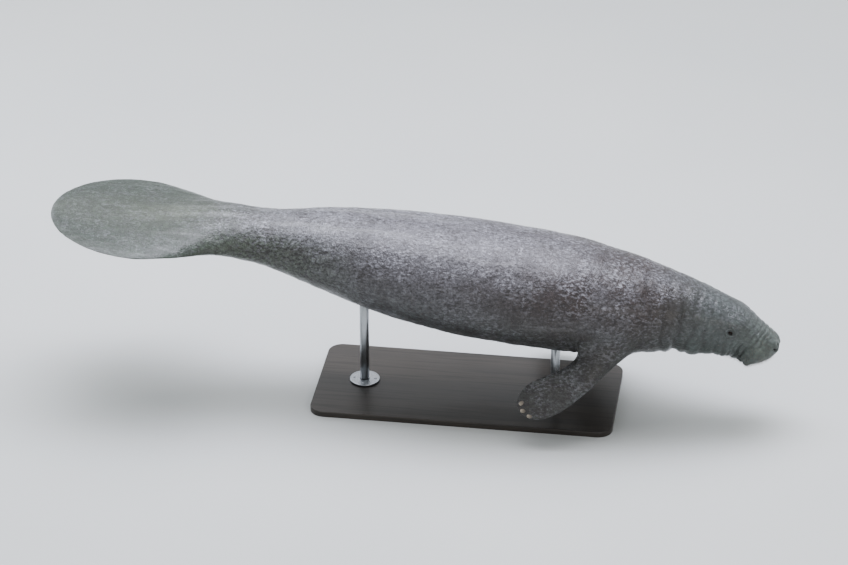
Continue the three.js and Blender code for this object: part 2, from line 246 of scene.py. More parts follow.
def body_point(at, angle):
    """Points on the flesh. angle: degrees from the middle of the back, towards the animal's left."""
    at, angle = np.broadcast_arrays(np.asarray(at, float), np.asarray(angle, float))
    centre, forward, left, up = spine_frame(at)
    side, high = np.sin(np.radians(angle)), np.cos(np.radians(angle))
    edge = body_size["edge"](at)
    share, thin = snout_share(at), fan_share(at) ** FAN_THINNING
    height = np.where(high > 0, body_size["back"](at), body_size["belly"](at)) * share * thin
    width = body_size["half"](at) * share * fan_share(at)
    y = width * signed_power(side, np.minimum(edge, 1))
    z = height * signed_power(high, edge)
    rise = np.zeros(at.shape)
    for place, reach, from_top, spread, amount in SWELLINGS.values():
        rise += amount * share * bell(at, place, reach) * bell(np.abs(angle), from_top, spread)
    lean = MUZZLE_LEAN * z * (1 - smooth(at, 0, MUZZLE_LEAN_REACH))
    return (
        centre + left * (y + side * rise)[..., None]
        + up * (z + high * rise)[..., None] + forward * lean[..., None]
    )


def skin_frame(at, angle, sink=0.0):
    """A place on the hide with its directions forward, up round the side, and out."""
    at, angle = float(at), float(angle)
    here = body_point(at, angle)
    along = normalised(body_point(at - STEP_ALONG, angle) - here)
    out = normalised(np.cross(body_point(at, angle - STEP_ROUND) - here, along))
    upward = np.cross(along, out) * (1 if angle >= 0 else -1)
    return here - out * sink, along, upward, out


print("right eye sits at", np.round(skin_frame(EYE_AT, -EYE_ANGLE, EYE_SINK)[0]))

# %% [markdown]
# ## The net of the skin
# The skin starts as a net of rings and columns. The rings lie a few millimetres apart on the face and
# further apart on the trunk. The columns crowd together where the eyes and nostrils are, as a
# modeller adds loops round an eye. Everything else about the skin is a push of this net, in or out.

# %% Rings and columns
COLUMNS = 188
NOSTRIL_AT, NOSTRIL_ANGLE = 34, 24


def ring_places():
    """Distances from the snout, closest at the eyes and where the snout closes."""
    dome_shares = np.linspace(0.03, 0.93, 36)
    dome = SNOUT_DOME * (1 - (1 - dome_shares**SNOUT_BLUNTNESS) ** (1 / SNOUT_BLUNTNESS))
    places, at = list(dome), dome[-1]
    while at < FAN_WIDEST:
        step = 3.2 + 3.0 * smooth(at, 300, 520) + 7.3 * smooth(at, 760, 1000) - 5.0 * smooth(at, 2150, 2450)
        at += step - 2.0 * bell(at, EYE_AT, 26)
        places.append(at)
    tip = FAN_WIDEST + (LENGTH - FAN_WIDEST) * np.sin(np.radians(np.linspace(1.6, 89, 52)))
    return np.array([p for p in places if p < FAN_WIDEST] + list(tip))


def column_angles(at):
    """Angles of the columns of one ring: even, or crowded round the eyes or nostrils."""
    even = np.linspace(-180, 180, 721)
    density = 1 + 3.4 * bell(at, EYE_AT, 40) * bell(np.abs(even), EYE_ANGLE, 11)
    density += 1.2 * bell(at, NOSTRIL_AT, 30) * bell(np.abs(even), NOSTRIL_ANGLE, 18)
    total = np.concatenate([[0], np.cumsum((density[1:] + density[:-1]) / 2)])
    return np.interp(np.arange(COLUMNS) / COLUMNS * total[-1], total, even)


ring_at = ring_places()
at_grid = np.repeat(ring_at[:, None], COLUMNS, axis=1)
angle_grid = np.array([column_angles(at) for at in ring_at])
print("net of", len(ring_at), "rings and", COLUMNS, "columns")


def net_normals(points):
    """Outward directions of the net's points."""
    round_step = np.roll(points, -1, axis=1) - np.roll(points, 1, axis=1)
    along_step = np.gradient(points, axis=0)
    return normalised(np.cross(round_step, along_step))


# %% [markdown]
# ## Room for the flippers
# Two patches of the net are opened later, where the flippers grow. A patch of a net is a rectangle,
# and a limb needs a round root. So the net is eased around each patch, most at its corners, until its
# border is an ellipse on the hide. The points slide along the body and never leave its surface.

# %% Round patches for the flippers
ROOT_AT, ROOT_ANGLE, ROOT_REACH, ROOT_SPREAD = 674, 127, 122, 23
EASE_REACH = 2.4


def index_near(values, wanted):
    return int(np.abs(values - wanted).argmin())


def root_patch(side):
    """First and last ring and column of the patch of one side."""
    top, bottom = (index_near(ring_at, ROOT_AT + reach) for reach in (-ROOT_REACH, ROOT_REACH))
    angles = angle_grid[(top + bottom) // 2]
    first, last = sorted(
        index_near(angles, side * (ROOT_ANGLE + spread)) for spread in (-ROOT_SPREAD, ROOT_SPREAD))
    return top, bottom, first, last


root_patches = {side: root_patch(side) for side in (1, -1)}
ring_step, column_step = np.gradient(at_grid, axis=0), np.gradient(angle_grid, axis=1)
eased_at, eased_angle = at_grid.copy(), angle_grid.copy()
row_index, column_index = np.indices(at_grid.shape)
for top, bottom, first, last in root_patches.values():
    half_rows, half_columns = (bottom - top) / 2, (last - first) / 2
    u = (row_index - (top + bottom) / 2) / half_rows
    v = (column_index - (first + last) / 2) / half_columns
    beyond = np.maximum(np.maximum(np.abs(u), np.abs(v)), 1)
    u_edge, v_edge = u / beyond, v / beyond
    share = 1 - smooth(beyond, 1, EASE_REACH)
    eased_at += (u_edge * np.sqrt(1 - v_edge**2 / 2) - u_edge) * share * half_rows * ring_step
    eased_angle += (v_edge * np.sqrt(1 - u_edge**2 / 2) - v_edge) * share * half_columns * column_step
at_grid, angle_grid = eased_at, eased_angle
skin = body_point(at_grid, angle_grid)
outward_check = np.einsum("ijk,ijk->ij", net_normals(skin), skin - spine_frame(at_grid)[0]).mean()
print("patches", root_patches, "normals point", round(float(outward_check)), "mm outwards on average")

# %% [markdown]
# ## Folds
# A heavy hide folds where the body bends. Each fold here is a groove with a soft lip on both sides,
# as a thumb leaves it in clay. Grooves run round the eyes, across the top of the muzzle, under the
# chin and round the neck. Their lines are bent a little with noise, so no two folds are alike.
# The depth of every groove is also kept as a number, because the hide is painted darker there later,
# as painted shade in the folds.

# %% Folds of the body
SKIN_INSET = 1.0
from_top = np.abs(angle_grid)


def wander(points, size, seed):
    """Smooth noise between about -1 and 1, with bumps of the given size in mm."""
    shift = Vector((seed * 17.3, seed * -9.1, seed * 5.7))
    flat = np.asarray(points).reshape(-1, 3) / size
    return np.array([noise.noise(Vector(p) + shift) for p in flat]).reshape(points.shape[:-1]) * 1.6


def groove(distance, width):
    """1 in the middle of a fold, a little under 0 on its lips, 0 further away."""
    t = distance / width
    return bell(t, 0, 1) - 0.38 * bell(np.abs(t), 1.9, 0.9)


def band(value, low, high, soft):
    """1 between low and high, falling to 0 over the soft distance outside them."""
    return smooth(value, low - soft, low) * (1 - smooth(value, high, high + soft))


relief = np.full(at_grid.shape, -SKIN_INSET) * (0.2 + 0.8 * fan_share(at_grid))
crease = np.zeros(at_grid.shape)
wave_small, wave_large = wander(skin, 45, 1), wander(skin, 160, 2)


def press(depth, width, distance, mask):
    """Press a fold into the hide where the mask is 1."""
    shape = groove(distance, width) * mask
    relief[:] -= depth * shape
    crease[:] = np.maximum(crease, np.clip(shape, 0, 1) * min(1, depth / 3))


# Furrows across the top of the muzzle, deep in the middle and fading down the sides
for place, depth, low in ((74, 1.6, 70), (90, 2.2, 84), (107, 2.6, 92), (123, 2.2, 86),
                          (141, 1.8, 74), (160, 1.5, 60), (178, 1.0, 40)):
    line = at_grid + 5 * wave_small + 10 * wave_large - 9 * (from_top / 90) ** 2
    press(depth, 3.6, line - place, 1 - smooth(from_top, low - 26, low + 8))

# Upright folds on the cheek behind the lip pads
for place, depth in ((112, 2.6), (131, 3.2), (152, 2.4), (173, 1.4)):
    line = at_grid + 4 * wave_small + 0.35 * (from_top - 110)
    press(depth, 4.4, line - place, band(from_top, 96, 138, 16))

# Folds under the chin, on the throat and round the neck: place, depth, width, highest angle reached
THROAT_FOLDS = ((166, 2.2, 5, 112), (200, 2.8, 7, 104), (244, 2.4, 8, 96), (292, 2.8, 9, 86),
                (346, 3.0, 10, 68), (400, 4.4, 12, 46), (458, 2.6, 11, 64), (536, 2.2, 13, 82))
for place, depth, width, reach in THROAT_FOLDS:
    line = at_grid + 7 * wave_small + 16 * wave_large + 0.10 * (from_top - 140)
    press(depth, width, line - place, smooth(from_top, reach - 20, reach + 24))

# Nape and shoulder rolls, hardly more than a shadow
for place, depth, width in ((300, 1.2, 9), (372, 1.6, 11), (452, 1.4, 12), (560, 1.2, 16)):
    line = at_grid + 9 * wave_small + 22 * wave_large
    press(depth, width, line - place, 1 - smooth(from_top, 62, 96))

# Folds of the flank behind the flipper and of the tail stock, where the body bends as it swims
for place, depth, width, low, high in (
    (792, 2.2, 13, 98, 168), (838, 1.6, 14, 104, 170), (1822, 0.8, 20, 60, 156), (1900, 1.0, 19, 50, 160),
    (1972, 1.0, 18, 46, 164), (2040, 1.1, 17, 40, 166), (2102, 1.0, 15, 40, 168), (2160, 0.8, 14, 40, 170),
):
    line = at_grid + 12 * wave_small + 26 * wave_large
    press(depth, width, line - place, band(from_top, low, high, 26))

print("deepest fold", round(float(-relief.min()), 1), "mm")

# %% [markdown]
# ## The face
# Each feature of the face is pressed into the net in its own flat frame, so its shape can be drawn in
# plain millimetres. A texture of bumps could not give a lid or a lip its real edge. The eyes are two
# centimetres across and sit in rings of small folds, like the knot of a pouch. Past the lid's edge the
# skin dives behind the ball.

# %% Eyelids
LID_TILT, LID_HALF_LENGTH, LID_HALF_HEIGHT, LID_EDGE = 0.16, 7.6, 5.6, 6.5
# Rolls and grooves of the lids: distance from the ball's middle, width, rise
LID_ROLLS = ((8.3, 1.9, 3.2), (11.2, 1.3, -1.7))
# Folds round the eye: distance, width, rise, how much of it is even all round, and its turn
EYE_FOLDS = ((14.5, 3.6, 1.8, 1, 0), (19.2, 1.9, -1.9, 1, 0), (24, 5, 1.4, 0.5, 0.4),
             (30.5, 2.8, -1.6, 0.45, 0.4), (41, 3.6, -1.0, 0.35, 0.1))
# rim keeps the lid edges, nostril slits, mouth slit and ears, where the hide is later painted nearly black as
# painted shade
rim = np.zeros(at_grid.shape)
net_out = net_normals(skin)


def in_frame(points, place):
    """Coordinates of the points in a frame: forward, up round the side, and out."""
    origin, along, upward, out = place
    rel = points - origin
    return rel @ along, rel @ upward, rel @ out


eye_places = {side: skin_frame(EYE_AT, side * EYE_ANGLE, EYE_SINK) for side in (1, -1)}
for side, place in eye_places.items():
    x, y, z = in_frame(skin, place)
    near = (z > -30) & (np.hypot(x, y) < 70)
    ex = x * math.cos(LID_TILT) - y * math.sin(LID_TILT)
    ey = x * math.sin(LID_TILT) + y * math.cos(LID_TILT)
    angle = np.arctan2(ey, ex)
    opening = np.hypot(ex / LID_HALF_LENGTH, ey / LID_HALF_HEIGHT) * LID_EDGE
    uneven = 0.16 * np.sin(angle + 0.6) + 0.10 * np.sin(3 * angle + side) + 0.35 * wave_small
    ring = np.hypot(ex * 0.86, ey) * (1 + uneven * smooth(opening, 8, 18))
    lid = sum(rise * bell(opening, far, width) for far, width, rise in LID_ROLLS)
    lid += sum(rise * bell(ring, far, width) * (even + (1 - even) * np.sin(angle + turned_by))
               for far, width, rise, even, turned_by in EYE_FOLDS)
    puckers = 0.5 * np.cos(11 * angle + 1.9 * np.sin(2 * angle + side))
    puckers += 0.4 * np.cos(19 * angle + 2.0 * side)
    lid += puckers * (0.45 * band(opening, 8.5, 12, 2) + 0.5 * band(ring, 14, 30, 6))
    dive = smooth(-opening, -6.9, -5.4)
    relief = np.where(near, relief * (1 - band(ring, 0, 12, 22)) + lid * (1 - dive) - 6.5 * dive, relief)
    folds = bell(opening, 11.2, 1.4) + 0.8 * bell(ring, 19.2, 2.2)
    crease = np.where(near, np.maximum(crease, folds * 0.8), crease)
    rim = np.where(near, np.maximum(rim, smooth(-opening, -11, -7.2)), rim)
print("eyelids open over a ball of", 2 * EYE_RADIUS, "mm")

# %% [markdown]
# The nostrils are two crescents on top of the muzzle's front, each with a round valve behind it that
# shuts under water, and a raised collar.

# %% Nostrils
NOSTRIL_RADIUS, NOSTRIL_WIDTH, NOSTRIL_DEPTH = 12.0, 4.2, 10.0
for side in (1, -1):
    place = skin_frame(NOSTRIL_AT, side * NOSTRIL_ANGLE)
    x, y, z = in_frame(skin, place)
    near = (z > -30) & (np.hypot(x, y) < 50)
    x = x + 5
    radius, angle = np.hypot(x, y * 0.85), np.arctan2(y, x)
    arc = smooth(np.cos(angle), -0.35, 0.3)
    slot = np.exp(-(((radius - NOSTRIL_RADIUS) / NOSTRIL_WIDTH) ** 4)) * arc
    valve = bell(radius, 0, 8.5)
    collar = bell(radius, 20.5, 4.6) * (0.3 + 0.7 * arc)
    push = 2.4 * collar + 0.4 * valve - NOSTRIL_DEPTH * slot
    relief = np.where(near, relief * (1 - band(radius, 0, 18, 12)) + push, relief)
    rim = np.where(near, np.maximum(rim, slot), rim)

print("nostrils", 2 * NOSTRIL_RADIUS, "mm across")

# %% [markdown]
# The mouth runs from the front of the muzzle back under the heavy lip pads. Its line is drawn in a
# side view as a curve through three points. The distance of every point of the net from that curve
# then gives the slit, the roll of the upper lip above it and the lower lip under it.

# %% Mouth line
MOUTH_AT = 112
MOUTH_LINE = ((100, -122), (100 / 3, -66), (-20, -50))
t = np.linspace(-0.15, 1, 116)[:, None]
start, bend, end = (np.array(p, float) for p in MOUTH_LINE)
mouth_curve = (1 - t) ** 2 * start + 2 * (1 - t) * t * bend + t**2 * end
mouth_tangent = normalised(2 * (1 - t) * (bend - start) + 2 * t * (end - bend))
centre, forward, left, up = spine_frame(np.array(float(MOUTH_AT)))
head_x, head_y, head_z = ((skin - centre) @ forward, (skin - centre) @ left, (skin - centre) @ up)
offsets = np.stack([head_x, head_z], -1)[:, :, None, :] - mouth_curve[None, None]
gaps = np.linalg.norm(offsets, axis=-1)
nearest = gaps.argmin(axis=2)
distance = gaps.min(axis=2)
offset = np.take_along_axis(offsets, nearest[:, :, None, None], 2)[:, :, 0]
line_way = mouth_tangent[nearest]
above = np.where(line_way[..., 0] * offset[..., 1] - line_way[..., 1] * offset[..., 0] < 0, 1, -1)
distance = distance * above
along_mouth = nearest / (len(mouth_curve) - 1)
print("mouth line", round(float(np.linalg.norm(np.diff(mouth_curve, axis=0), axis=1).sum())), "mm long")

# %% Lips
reach = (at_grid < 190) * (1 - smooth(along_mouth, 0.95, 1.0) * smooth(np.abs(distance), 3, 9))
mouth = np.exp(-((np.abs(distance) / 3.6) ** 2.4)) * reach * (1 - 0.5 * smooth(along_mouth, 0.86, 1.0))
lip = 5.0 * bell(distance, 12, 9) - 8.0 * band(-distance, 5, 26, 18) * (distance < 0)
lip_share = reach * (1 - smooth(along_mouth, 0.72, 1.0))
lower_lip = 5.0 * bell(distance, -17, 7) * band(along_mouth, 0, 0.6, 0.3)
relief = relief - 9.0 * mouth + lip * lip_share + lower_lip * lip_share
rim = np.maximum(rim, mouth)
crease = np.maximum(crease, mouth)

print("lips pressed in over", int((mouth > 0.5).sum()), "points")

# %% [markdown]
# A cleft divides the upper lip into two pads, which are finely wrinkled. The ear is a hole no wider
# than a pencil lead, a hand's breadth behind the eye.

# %% Lip pads and ears
front = 1 - smooth(at_grid, 44, 80)
on_lip = smooth(distance, 3, 12) * front
cleft = bell(head_y, 0, 6.5) * on_lip * smooth(from_top, 16, 60)
pads = bell(np.abs(head_y), 34, 22) * on_lip * smooth(from_top, 60, 130)
relief = relief - 6.5 * cleft + 4.0 * pads
crease = np.maximum(crease, np.clip(cleft, 0, 1) * 0.9)
pad_lines = bell(wander(skin, 17, 3), 0, 0.2) * band(from_top, 40, 150, 20) * (1 - smooth(at_grid, 84, 112))
relief = relief - 0.8 * pad_lines * (1 - rim)

EAR_AT, EAR_ANGLE, EAR_RADIUS = 300, 80, 3.4
for side in (1, -1):
    x, y, z = in_frame(skin, skin_frame(EAR_AT, side * EAR_ANGLE))
    dent = bell(np.hypot(x, y), 0, EAR_RADIUS) * (np.abs(z) < 20)
    relief = relief - 3.0 * dent
    rim = np.maximum(rim, dent)

skin = skin + net_out * relief[..., None]
print("face pressed in, deepest", round(float(-relief.min()), 1), "mm")

# %% [markdown]
# ## Flippers
# A flipper is an arm in a mitten: a short upper arm, a bend at the elbow and a flat hand. It leaves the
# chest downwards and sweeps back along it, as the animal holds it when it glides. It is one more row of
# sections. Its net is grown out of the body's own net: a patch of the chest is opened and its border is
# drawn out into the rings of the flipper. A boolean union would leave a hard seam in the armpit.

# %% Flipper sections
FLIPPER_PLACE, FLIPPER_ANGLE, FLIPPER_SINK, FLIPPER_LENGTH = 640, 126, 60, 490
FLIPPER_START, FLIPPER_END = (-0.52, 0.62, -0.59), (-0.92, 0.2, -0.34)
FLIPPER_AT = (0, 0.3, 0.5, 0.76, 1)
flipper_chord = through(FLIPPER_AT, (84, 66, 69, 80, 66))
flipper_thick = through(FLIPPER_AT, (46, 33, 24, 17, 11))
FLIPPER_TIP_ROUND, FLIPPER_EDGE = 0.16, 1.35
HEADING_STEPS = 40


def flipper_frame(t, side):
    """Centre, along, ahead and out of the flipper's section at shares t of its length."""
    t = np.atleast_1d(np.asarray(t, float))
    mirror = np.array([1, side, 1.0])
    start, end = (normalised(np.array(way, float)) * mirror for way in (FLIPPER_START, FLIPPER_END))

    def heading(share):
        share = smooth(share, 0, 1)[..., None]
        return normalised(start * (1 - share) + end * share)

    root = skin_frame(FLIPPER_PLACE, side * FLIPPER_ANGLE, FLIPPER_SINK)[0]
    steps = (np.arange(HEADING_STEPS) + 0.5) / HEADING_STEPS
    travelled = heading(t[:, None] * steps[None]).mean(axis=1) * (t * FLIPPER_LENGTH)[:, None]
    along = heading(t)
    ahead = normalised(np.array([1.0, 0, 0]) - along * along[:, :1])
    return root + travelled, along, ahead, np.cross(ahead, along) * side


def tip_share(t):
    tip = np.clip((t - 1 + FLIPPER_TIP_ROUND) / FLIPPER_TIP_ROUND, 0, 1)
    return np.sqrt(1 - tip * tip)


def flipper_point(t, angle, side):
    """Points of the flipper. angle: radians from its leading edge, over its outer face."""
    t, angle = np.atleast_1d(t), np.atleast_2d(angle)
    centre, _, ahead, out = flipper_frame(t, side)
    share = tip_share(t)
    chord = (flipper_chord(t) * share)[:, None] * np.cos(angle)
    lens = signed_power(np.sin(angle), (1 + (FLIPPER_EDGE - 1) * smooth(t, 0.15, 0.7))[:, None])
    thick = (flipper_thick(t) * share**0.6)[:, None] * lens
    return centre[:, None] + ahead[:, None] * chord[..., None] + out[:, None] * thick[..., None]


print("flipper tips at", [np.round(flipper_frame(1.0, side)[0][0]).tolist() for side in (1, -1)])

# %% [markdown]
# The border of the opened patch is a rectangle of the net. Each of its points gets the flipper angle it
# lies nearest to. A Hermite curve then leads from the chest to the flipper: it starts along the skin
# and ends along the arm, which gives the soft web of the armpit. Further out the columns even out.

# %% Grow the flippers
BRIDGE_RINGS, BRIDGE_END, BLADE_RINGS, TIP_RINGS = 20, 0.37, 28, 28
ARM_AT = 0.16  # where the upper arm is, as a share of the flipper


def border(top, bottom, first, last):
    """The patch's border, once round, as pairs of ring and column."""
    loop = [(top, c) for c in range(first, last)] + [(r, last) for r in range(top, bottom)]
    loop += [(bottom, c) for c in range(last, first, -1)] + [(r, first) for r in range(bottom, top, -1)]
    return np.array(loop)


def grow_flipper(side):
    """Rings of points from the chest to the flipper's tip, and the border they start from."""
    loop = border(*root_patches[side])
    start = skin[loop[:, 0], loop[:, 1]]
    normal = net_normals(skin)[loop[:, 0], loop[:, 1]]
    centre, along, ahead, out = (v[0] for v in flipper_frame(ARM_AT, side))
    rel = start - centre
    angles = np.unwrap(np.arctan2(rel @ out / flipper_thick(ARM_AT), rel @ ahead / flipper_chord(ARM_AT)))
    turn = 1 if angles[-1] > angles[0] else -1
    even = turn * 2 * np.pi * np.arange(len(loop)) / len(loop)
    even += (angles - even).mean()
    angles = even + (angles - even) * 0.75

    joined = flipper_point(BRIDGE_END, angles, side)[0]
    before = flipper_point(BRIDGE_END - 0.01, angles, side)[0]
    inward = centre + along * 40 - start
    inward = normalised(inward - normal * np.einsum("ij,ij->i", inward, normal)[:, None])
    reach = np.linalg.norm(joined - start, axis=1)[:, None]
    leave, arrive = inward * reach * 0.55, normalised(joined - before) * reach * 1.25
    rings = []
    for ring in range(1, BRIDGE_RINGS + 1):
        t = ring / BRIDGE_RINGS
        rings.append(
            (2 * t**3 - 3 * t**2 + 1) * start + (t**3 - 2 * t**2 + t) * leave
            + (3 * t**2 - 2 * t**3) * joined + (t**3 - t**2) * arrive)
    straight = 1 - FLIPPER_TIP_ROUND
    shares = np.linspace(BRIDGE_END, straight, BLADE_RINGS)[1:]
    tips = straight + FLIPPER_TIP_ROUND * np.sin(np.linspace(0, np.pi / 2 * 0.985, TIP_RINGS + 1)[1:])
    for t in (*shares, *tips):
        mix = smooth(t, BRIDGE_END, 0.7)
        rings.append(flipper_point(t, angles * (1 - mix) + even * mix, side)[0])
    limb = np.concatenate([np.linspace(0, BRIDGE_END, BRIDGE_RINGS + 1)[1:], shares, tips])
    end = flipper_point(0.9996, even, side)[0].mean(axis=0)
    return {"loop": loop, "rings": np.array(rings), "limb": limb, "end": end, "angles": even}


flippers = {side: grow_flipper(side) for side in (1, -1)}
for side, name in ((1, "left"), (-1, "right")):
    print(name, "flipper:", flippers[side]["rings"].shape[0], "rings of", flippers[side]["rings"].shape[1])

# %% [markdown]
# The flippers fold too: at the elbow and wrist, and in long soft ridges over the finger bones.

# %% Folds of the flippers
FLIPPER_FOLDS = ((0.20, 2.2, 0.018), (0.27, 3.0, 0.020), (0.335, 3.0, 0.018), (0.40, 2.6, 0.018),
                 (0.455, 2.4, 0.016), (0.51, 2.0, 0.015), (0.57, 1.5, 0.014), (0.64, 1.0, 0.013))
FINGERS = ((0.62, 1.3), (0.24, 1.5), (-0.14, 1.3), (-0.5, 1.0))

for side, limb in flippers.items():
    rings = limb["rings"]
    round_step = np.roll(rings, -1, axis=1) - np.roll(rings, 1, axis=1)
    out = normalised(np.cross(round_step, np.gradient(rings, axis=0)))
    centre = rings.mean(axis=1, keepdims=True)
    out *= np.sign(np.einsum("ijk,ijk->ij", out, rings - centre).mean())
    t = np.repeat(limb["limb"][:, None], rings.shape[1], axis=1)
    push, fold = np.zeros(t.shape), np.zeros(t.shape)
    wave, slow = wander(rings, 22, 4 + side), wander(rings, 70, 7 + side)
    for place, depth, width in FLIPPER_FOLDS:
        shape = groove(t + 0.014 * wave + 0.03 * slow - place, width)
        shape *= 0.45 + 0.55 * smooth(slow, -0.5, 0.6)
        push -= depth * shape
        fold = np.maximum(fold, np.clip(shape, 0, 1) * min(1, depth / 3))
    across = np.cos(limb["angles"])[None]
    for place, height in FINGERS:
        push += height * bell(across, place, 0.11) * band(t, 0.56, 0.9, 0.08)
    blunt = smooth(tip_share(t), 0, 0.5) * (1 - 0.75 * np.abs(across) ** 6)
    limb["rings"] = rings + out * ((push - 0.6) * blunt)[..., None]
    limb["crease"] = fold
print("folds on each flipper:", len(FLIPPER_FOLDS), "and ridges over", len(FINGERS), "fingers")

# %% [markdown]
# ## One skin
# The rings are now joined into one closed mesh. The same step lays the skin out flat, as a tailor
# would: the body above and the two flippers below. The flat map is named OFBake, and the head gets a
# larger share of it than its length, since the finest marks are there. With each point go five
# numbers: its place along the body, how far round it lies, its share of a flipper, fold and rim.

# %% Collect points and faces
class Net:
    """Collects points and faces with their places on the flat map."""

    def __init__(self):
        self.points, self.faces, self.maps, self.data = [], [], [], []
        self.count = 0

    def add_points(self, points, data):
        first = self.count
        self.points.append(points)
        self.data.append(data)
        self.count += len(points)
        return first + np.arange(len(points))

    def add_faces(self, corners, flat):
        self.faces.extend(corners.tolist())
        self.maps.extend(flat.reshape(-1, 2).tolist())

    def add_quads(self, index, u, v, keep):
        """Quads between rings where keep is true. index, u and v repeat the first column at the end."""
        rows, columns = index.shape
        picks = [np.s_[r:rows - 1 + r, c:columns - 1 + c] for r, c in ((0, 0), (0, 1), (1, 1), (1, 0))]
        corners = np.stack([index[pick][keep] for pick in picks], -1)
        flat = [np.stack([u[pick][keep], v[pick][keep]], -1) for pick in picks]
        self.add_faces(corners, np.stack(flat, 1))

    def add_cap(self, ring, pole, u, v, pole_u, turn):
        """Triangles from a closed ring to one point, facing the other way round if turn is -1."""
        corners = np.stack([ring[:-1], ring[1:], np.full(len(ring) - 1, pole)], -1)
        flat = np.stack([np.stack([u[:-1], v[:-1]], -1), np.stack([u[1:], v[1:]], -1),
                         np.stack([np.full(len(ring) - 1, pole_u), (v[:-1] + v[1:]) / 2], -1)], 1)
        self.add_faces(corners[:, ::turn], flat[:, ::turn])


def closed(values, wrap=0):
    """Repeat the first column after the last, so that the rings close."""
    return np.concatenate([values, values[:, :1] + wrap], axis=1)


net = Net()
print("an empty net with", net.count, "points")

# %% Faces of head, trunk and tail
BODY_MAP_LOW, BODY_MAP_HIGH = 0.215, 0.775
MAP_U = through((0, 90, 240, 450, 800, 3000), (0.012, 0.10, 0.24, 0.36, 0.47, 0.988))
rings, columns = at_grid.shape
covered, inner = np.zeros((rings - 1, columns), bool), np.zeros((rings, columns), bool)
for top, bottom, first, last in root_patches.values():
    covered[top:bottom, first:last] = True
    inner[top + 1:bottom, first + 1:last] = True
body_data = np.stack([at_grid / 1000, from_top / 180, np.zeros(at_grid.shape), crease, rim], -1)
body_index = np.full(at_grid.shape, -1)
body_index[~inner] = net.add_points(skin[~inner], body_data[~inner])
map_u = closed(MAP_U(at_grid))
map_v = closed(BODY_MAP_LOW + BODY_MAP_HIGH * (angle_grid + 180) / 360, BODY_MAP_HIGH)
ring_index = closed(body_index)
net.add_quads(ring_index, map_u, map_v, ~covered)
snout_pole = spine[0] - forward_at(0.0) * 0.6
for ring, tip, pole_u, turn in ((0, snout_pole, 0.005, -1), (rings - 1, spine[-1], 0.995, 1)):
    pole = net.add_points(tip[None], body_data[ring].mean(axis=0, keepdims=True))[0]
    net.add_cap(ring_index[ring], pole, map_u[ring], map_v[ring], pole_u, turn)
print("body:", net.count, "points and", len(net.faces), "faces")

# %% Faces of the flippers
FLIPPER_MAP_START, FLIPPER_MAP_LENGTH, FLIPPER_MAP_WIDTH = {1: 0.01, -1: 0.51}, 0.48, 0.19
for side, limb in flippers.items():
    loop, grown_rings = limb["loop"], limb["rings"]
    count, around = len(grown_rings), len(loop)
    limb_data = np.repeat(body_data[loop[:, 0], loop[:, 1]][None], count, axis=0)
    limb_data[..., 2] = limb["limb"][:, None]
    chest_folds = limb_data[..., 3] * (1 - smooth(limb["limb"], 0, 0.2))[:, None]
    limb_data[..., 3] = np.maximum(limb["crease"], chest_folds)
    limb_data[..., 4] = 0
    index = np.vstack([body_index[loop[:, 0], loop[:, 1]][None], net.add_points(
        grown_rings.reshape(-1, 3), limb_data.reshape(-1, 5)).reshape(count, around)])
    u = FLIPPER_MAP_START[side] + FLIPPER_MAP_LENGTH * np.concatenate([[0], limb["limb"]])
    v = 0.01 + FLIPPER_MAP_WIDTH * np.arange(around + 1) / around
    u, v = np.meshgrid(u, v, indexing="ij")
    index = closed(index)
    net.add_quads(index, u, v, np.ones((count, around), bool))
    pole = net.add_points(limb["end"][None], limb_data[-1].mean(axis=0, keepdims=True))[0]
    net.add_cap(index[-1], pole, u[-1], v[-1], u[-1, 0] + 0.002, 1)
skin_points, skin_data = np.concatenate(net.points), np.concatenate(net.data)
print("skin:", len(skin_points), "points and", len(net.faces), "faces")

# %% [markdown]
# Where a flipper leaves the chest, rings of two directions meet. Moving every point there a little
# towards the middle of its neighbours, a few times over, is what a sculptor's smoothing brush does.

# %% Relax the roots of the flippers
RELAX_PASSES, RELAX_NEAR, RELAX_FAR = 14, 12, 34
quads = np.array([face for face in net.faces if len(face) == 4])
edges = np.concatenate([quads[:, [0, 1]], quads[:, [1, 2]], quads[:, [2, 3]], quads[:, [3, 0]]])
edges = np.unique(np.sort(edges, 1), axis=0)
seam = np.concatenate([skin[limb["loop"][:, 0], limb["loop"][:, 1]] for limb in flippers.values()])
close = np.nonzero(np.abs(skin_data[:, 0] * 1000 - ROOT_AT) < ROOT_REACH + 60)[0]
gap = np.full(len(skin_points), 1e3)
gap[close] = [np.linalg.norm(seam - point, axis=1).min() for point in skin_points[close]]
ease = 0.5 * (1 - smooth(gap, RELAX_NEAR, RELAX_FAR))
for _ in range(RELAX_PASSES):
    total, count = np.zeros_like(skin_points), np.zeros(len(skin_points))
    for a, b in ((0, 1), (1, 0)):
        np.add.at(total, edges[:, a], skin_points[edges[:, b]])
        np.add.at(count, edges[:, a], 1)
    middle = total / np.maximum(count, 1)[:, None]
    skin_points = skin_points + (middle - skin_points) * ease[:, None]
print("relaxed", int((ease > 0).sum()), "points")

# %% [markdown]
# ## Small unevenness
# Under the hide lies fat, and it is never quite smooth. Two layers of noise push the finished mesh in
# and out by about a millimetre, with finer crossing wrinkles on the head and neck, where the net is
# close enough to hold them. First the net becomes a mesh, which knows its outward directions.

# %% The mesh
def mesh_object(name, points, faces):
    """A new object at the origin from points in millimetres."""
    mesh = bpy.data.meshes.new(name)
    mesh.from_pydata((np.asarray(points) * MM).tolist(), [], faces)
    mesh.polygons.foreach_set("use_smooth", [True] * len(mesh.polygons))
    mesh.update()
    obj = bpy.data.objects.new(name, mesh)
    bpy.context.scene.collection.objects.link(obj)
    return obj


def point_normals(mesh):
    normals = np.empty(len(mesh.vertices) * 3)
    mesh.vertices.foreach_get("normal", normals)
    return normals.reshape(-1, 3)


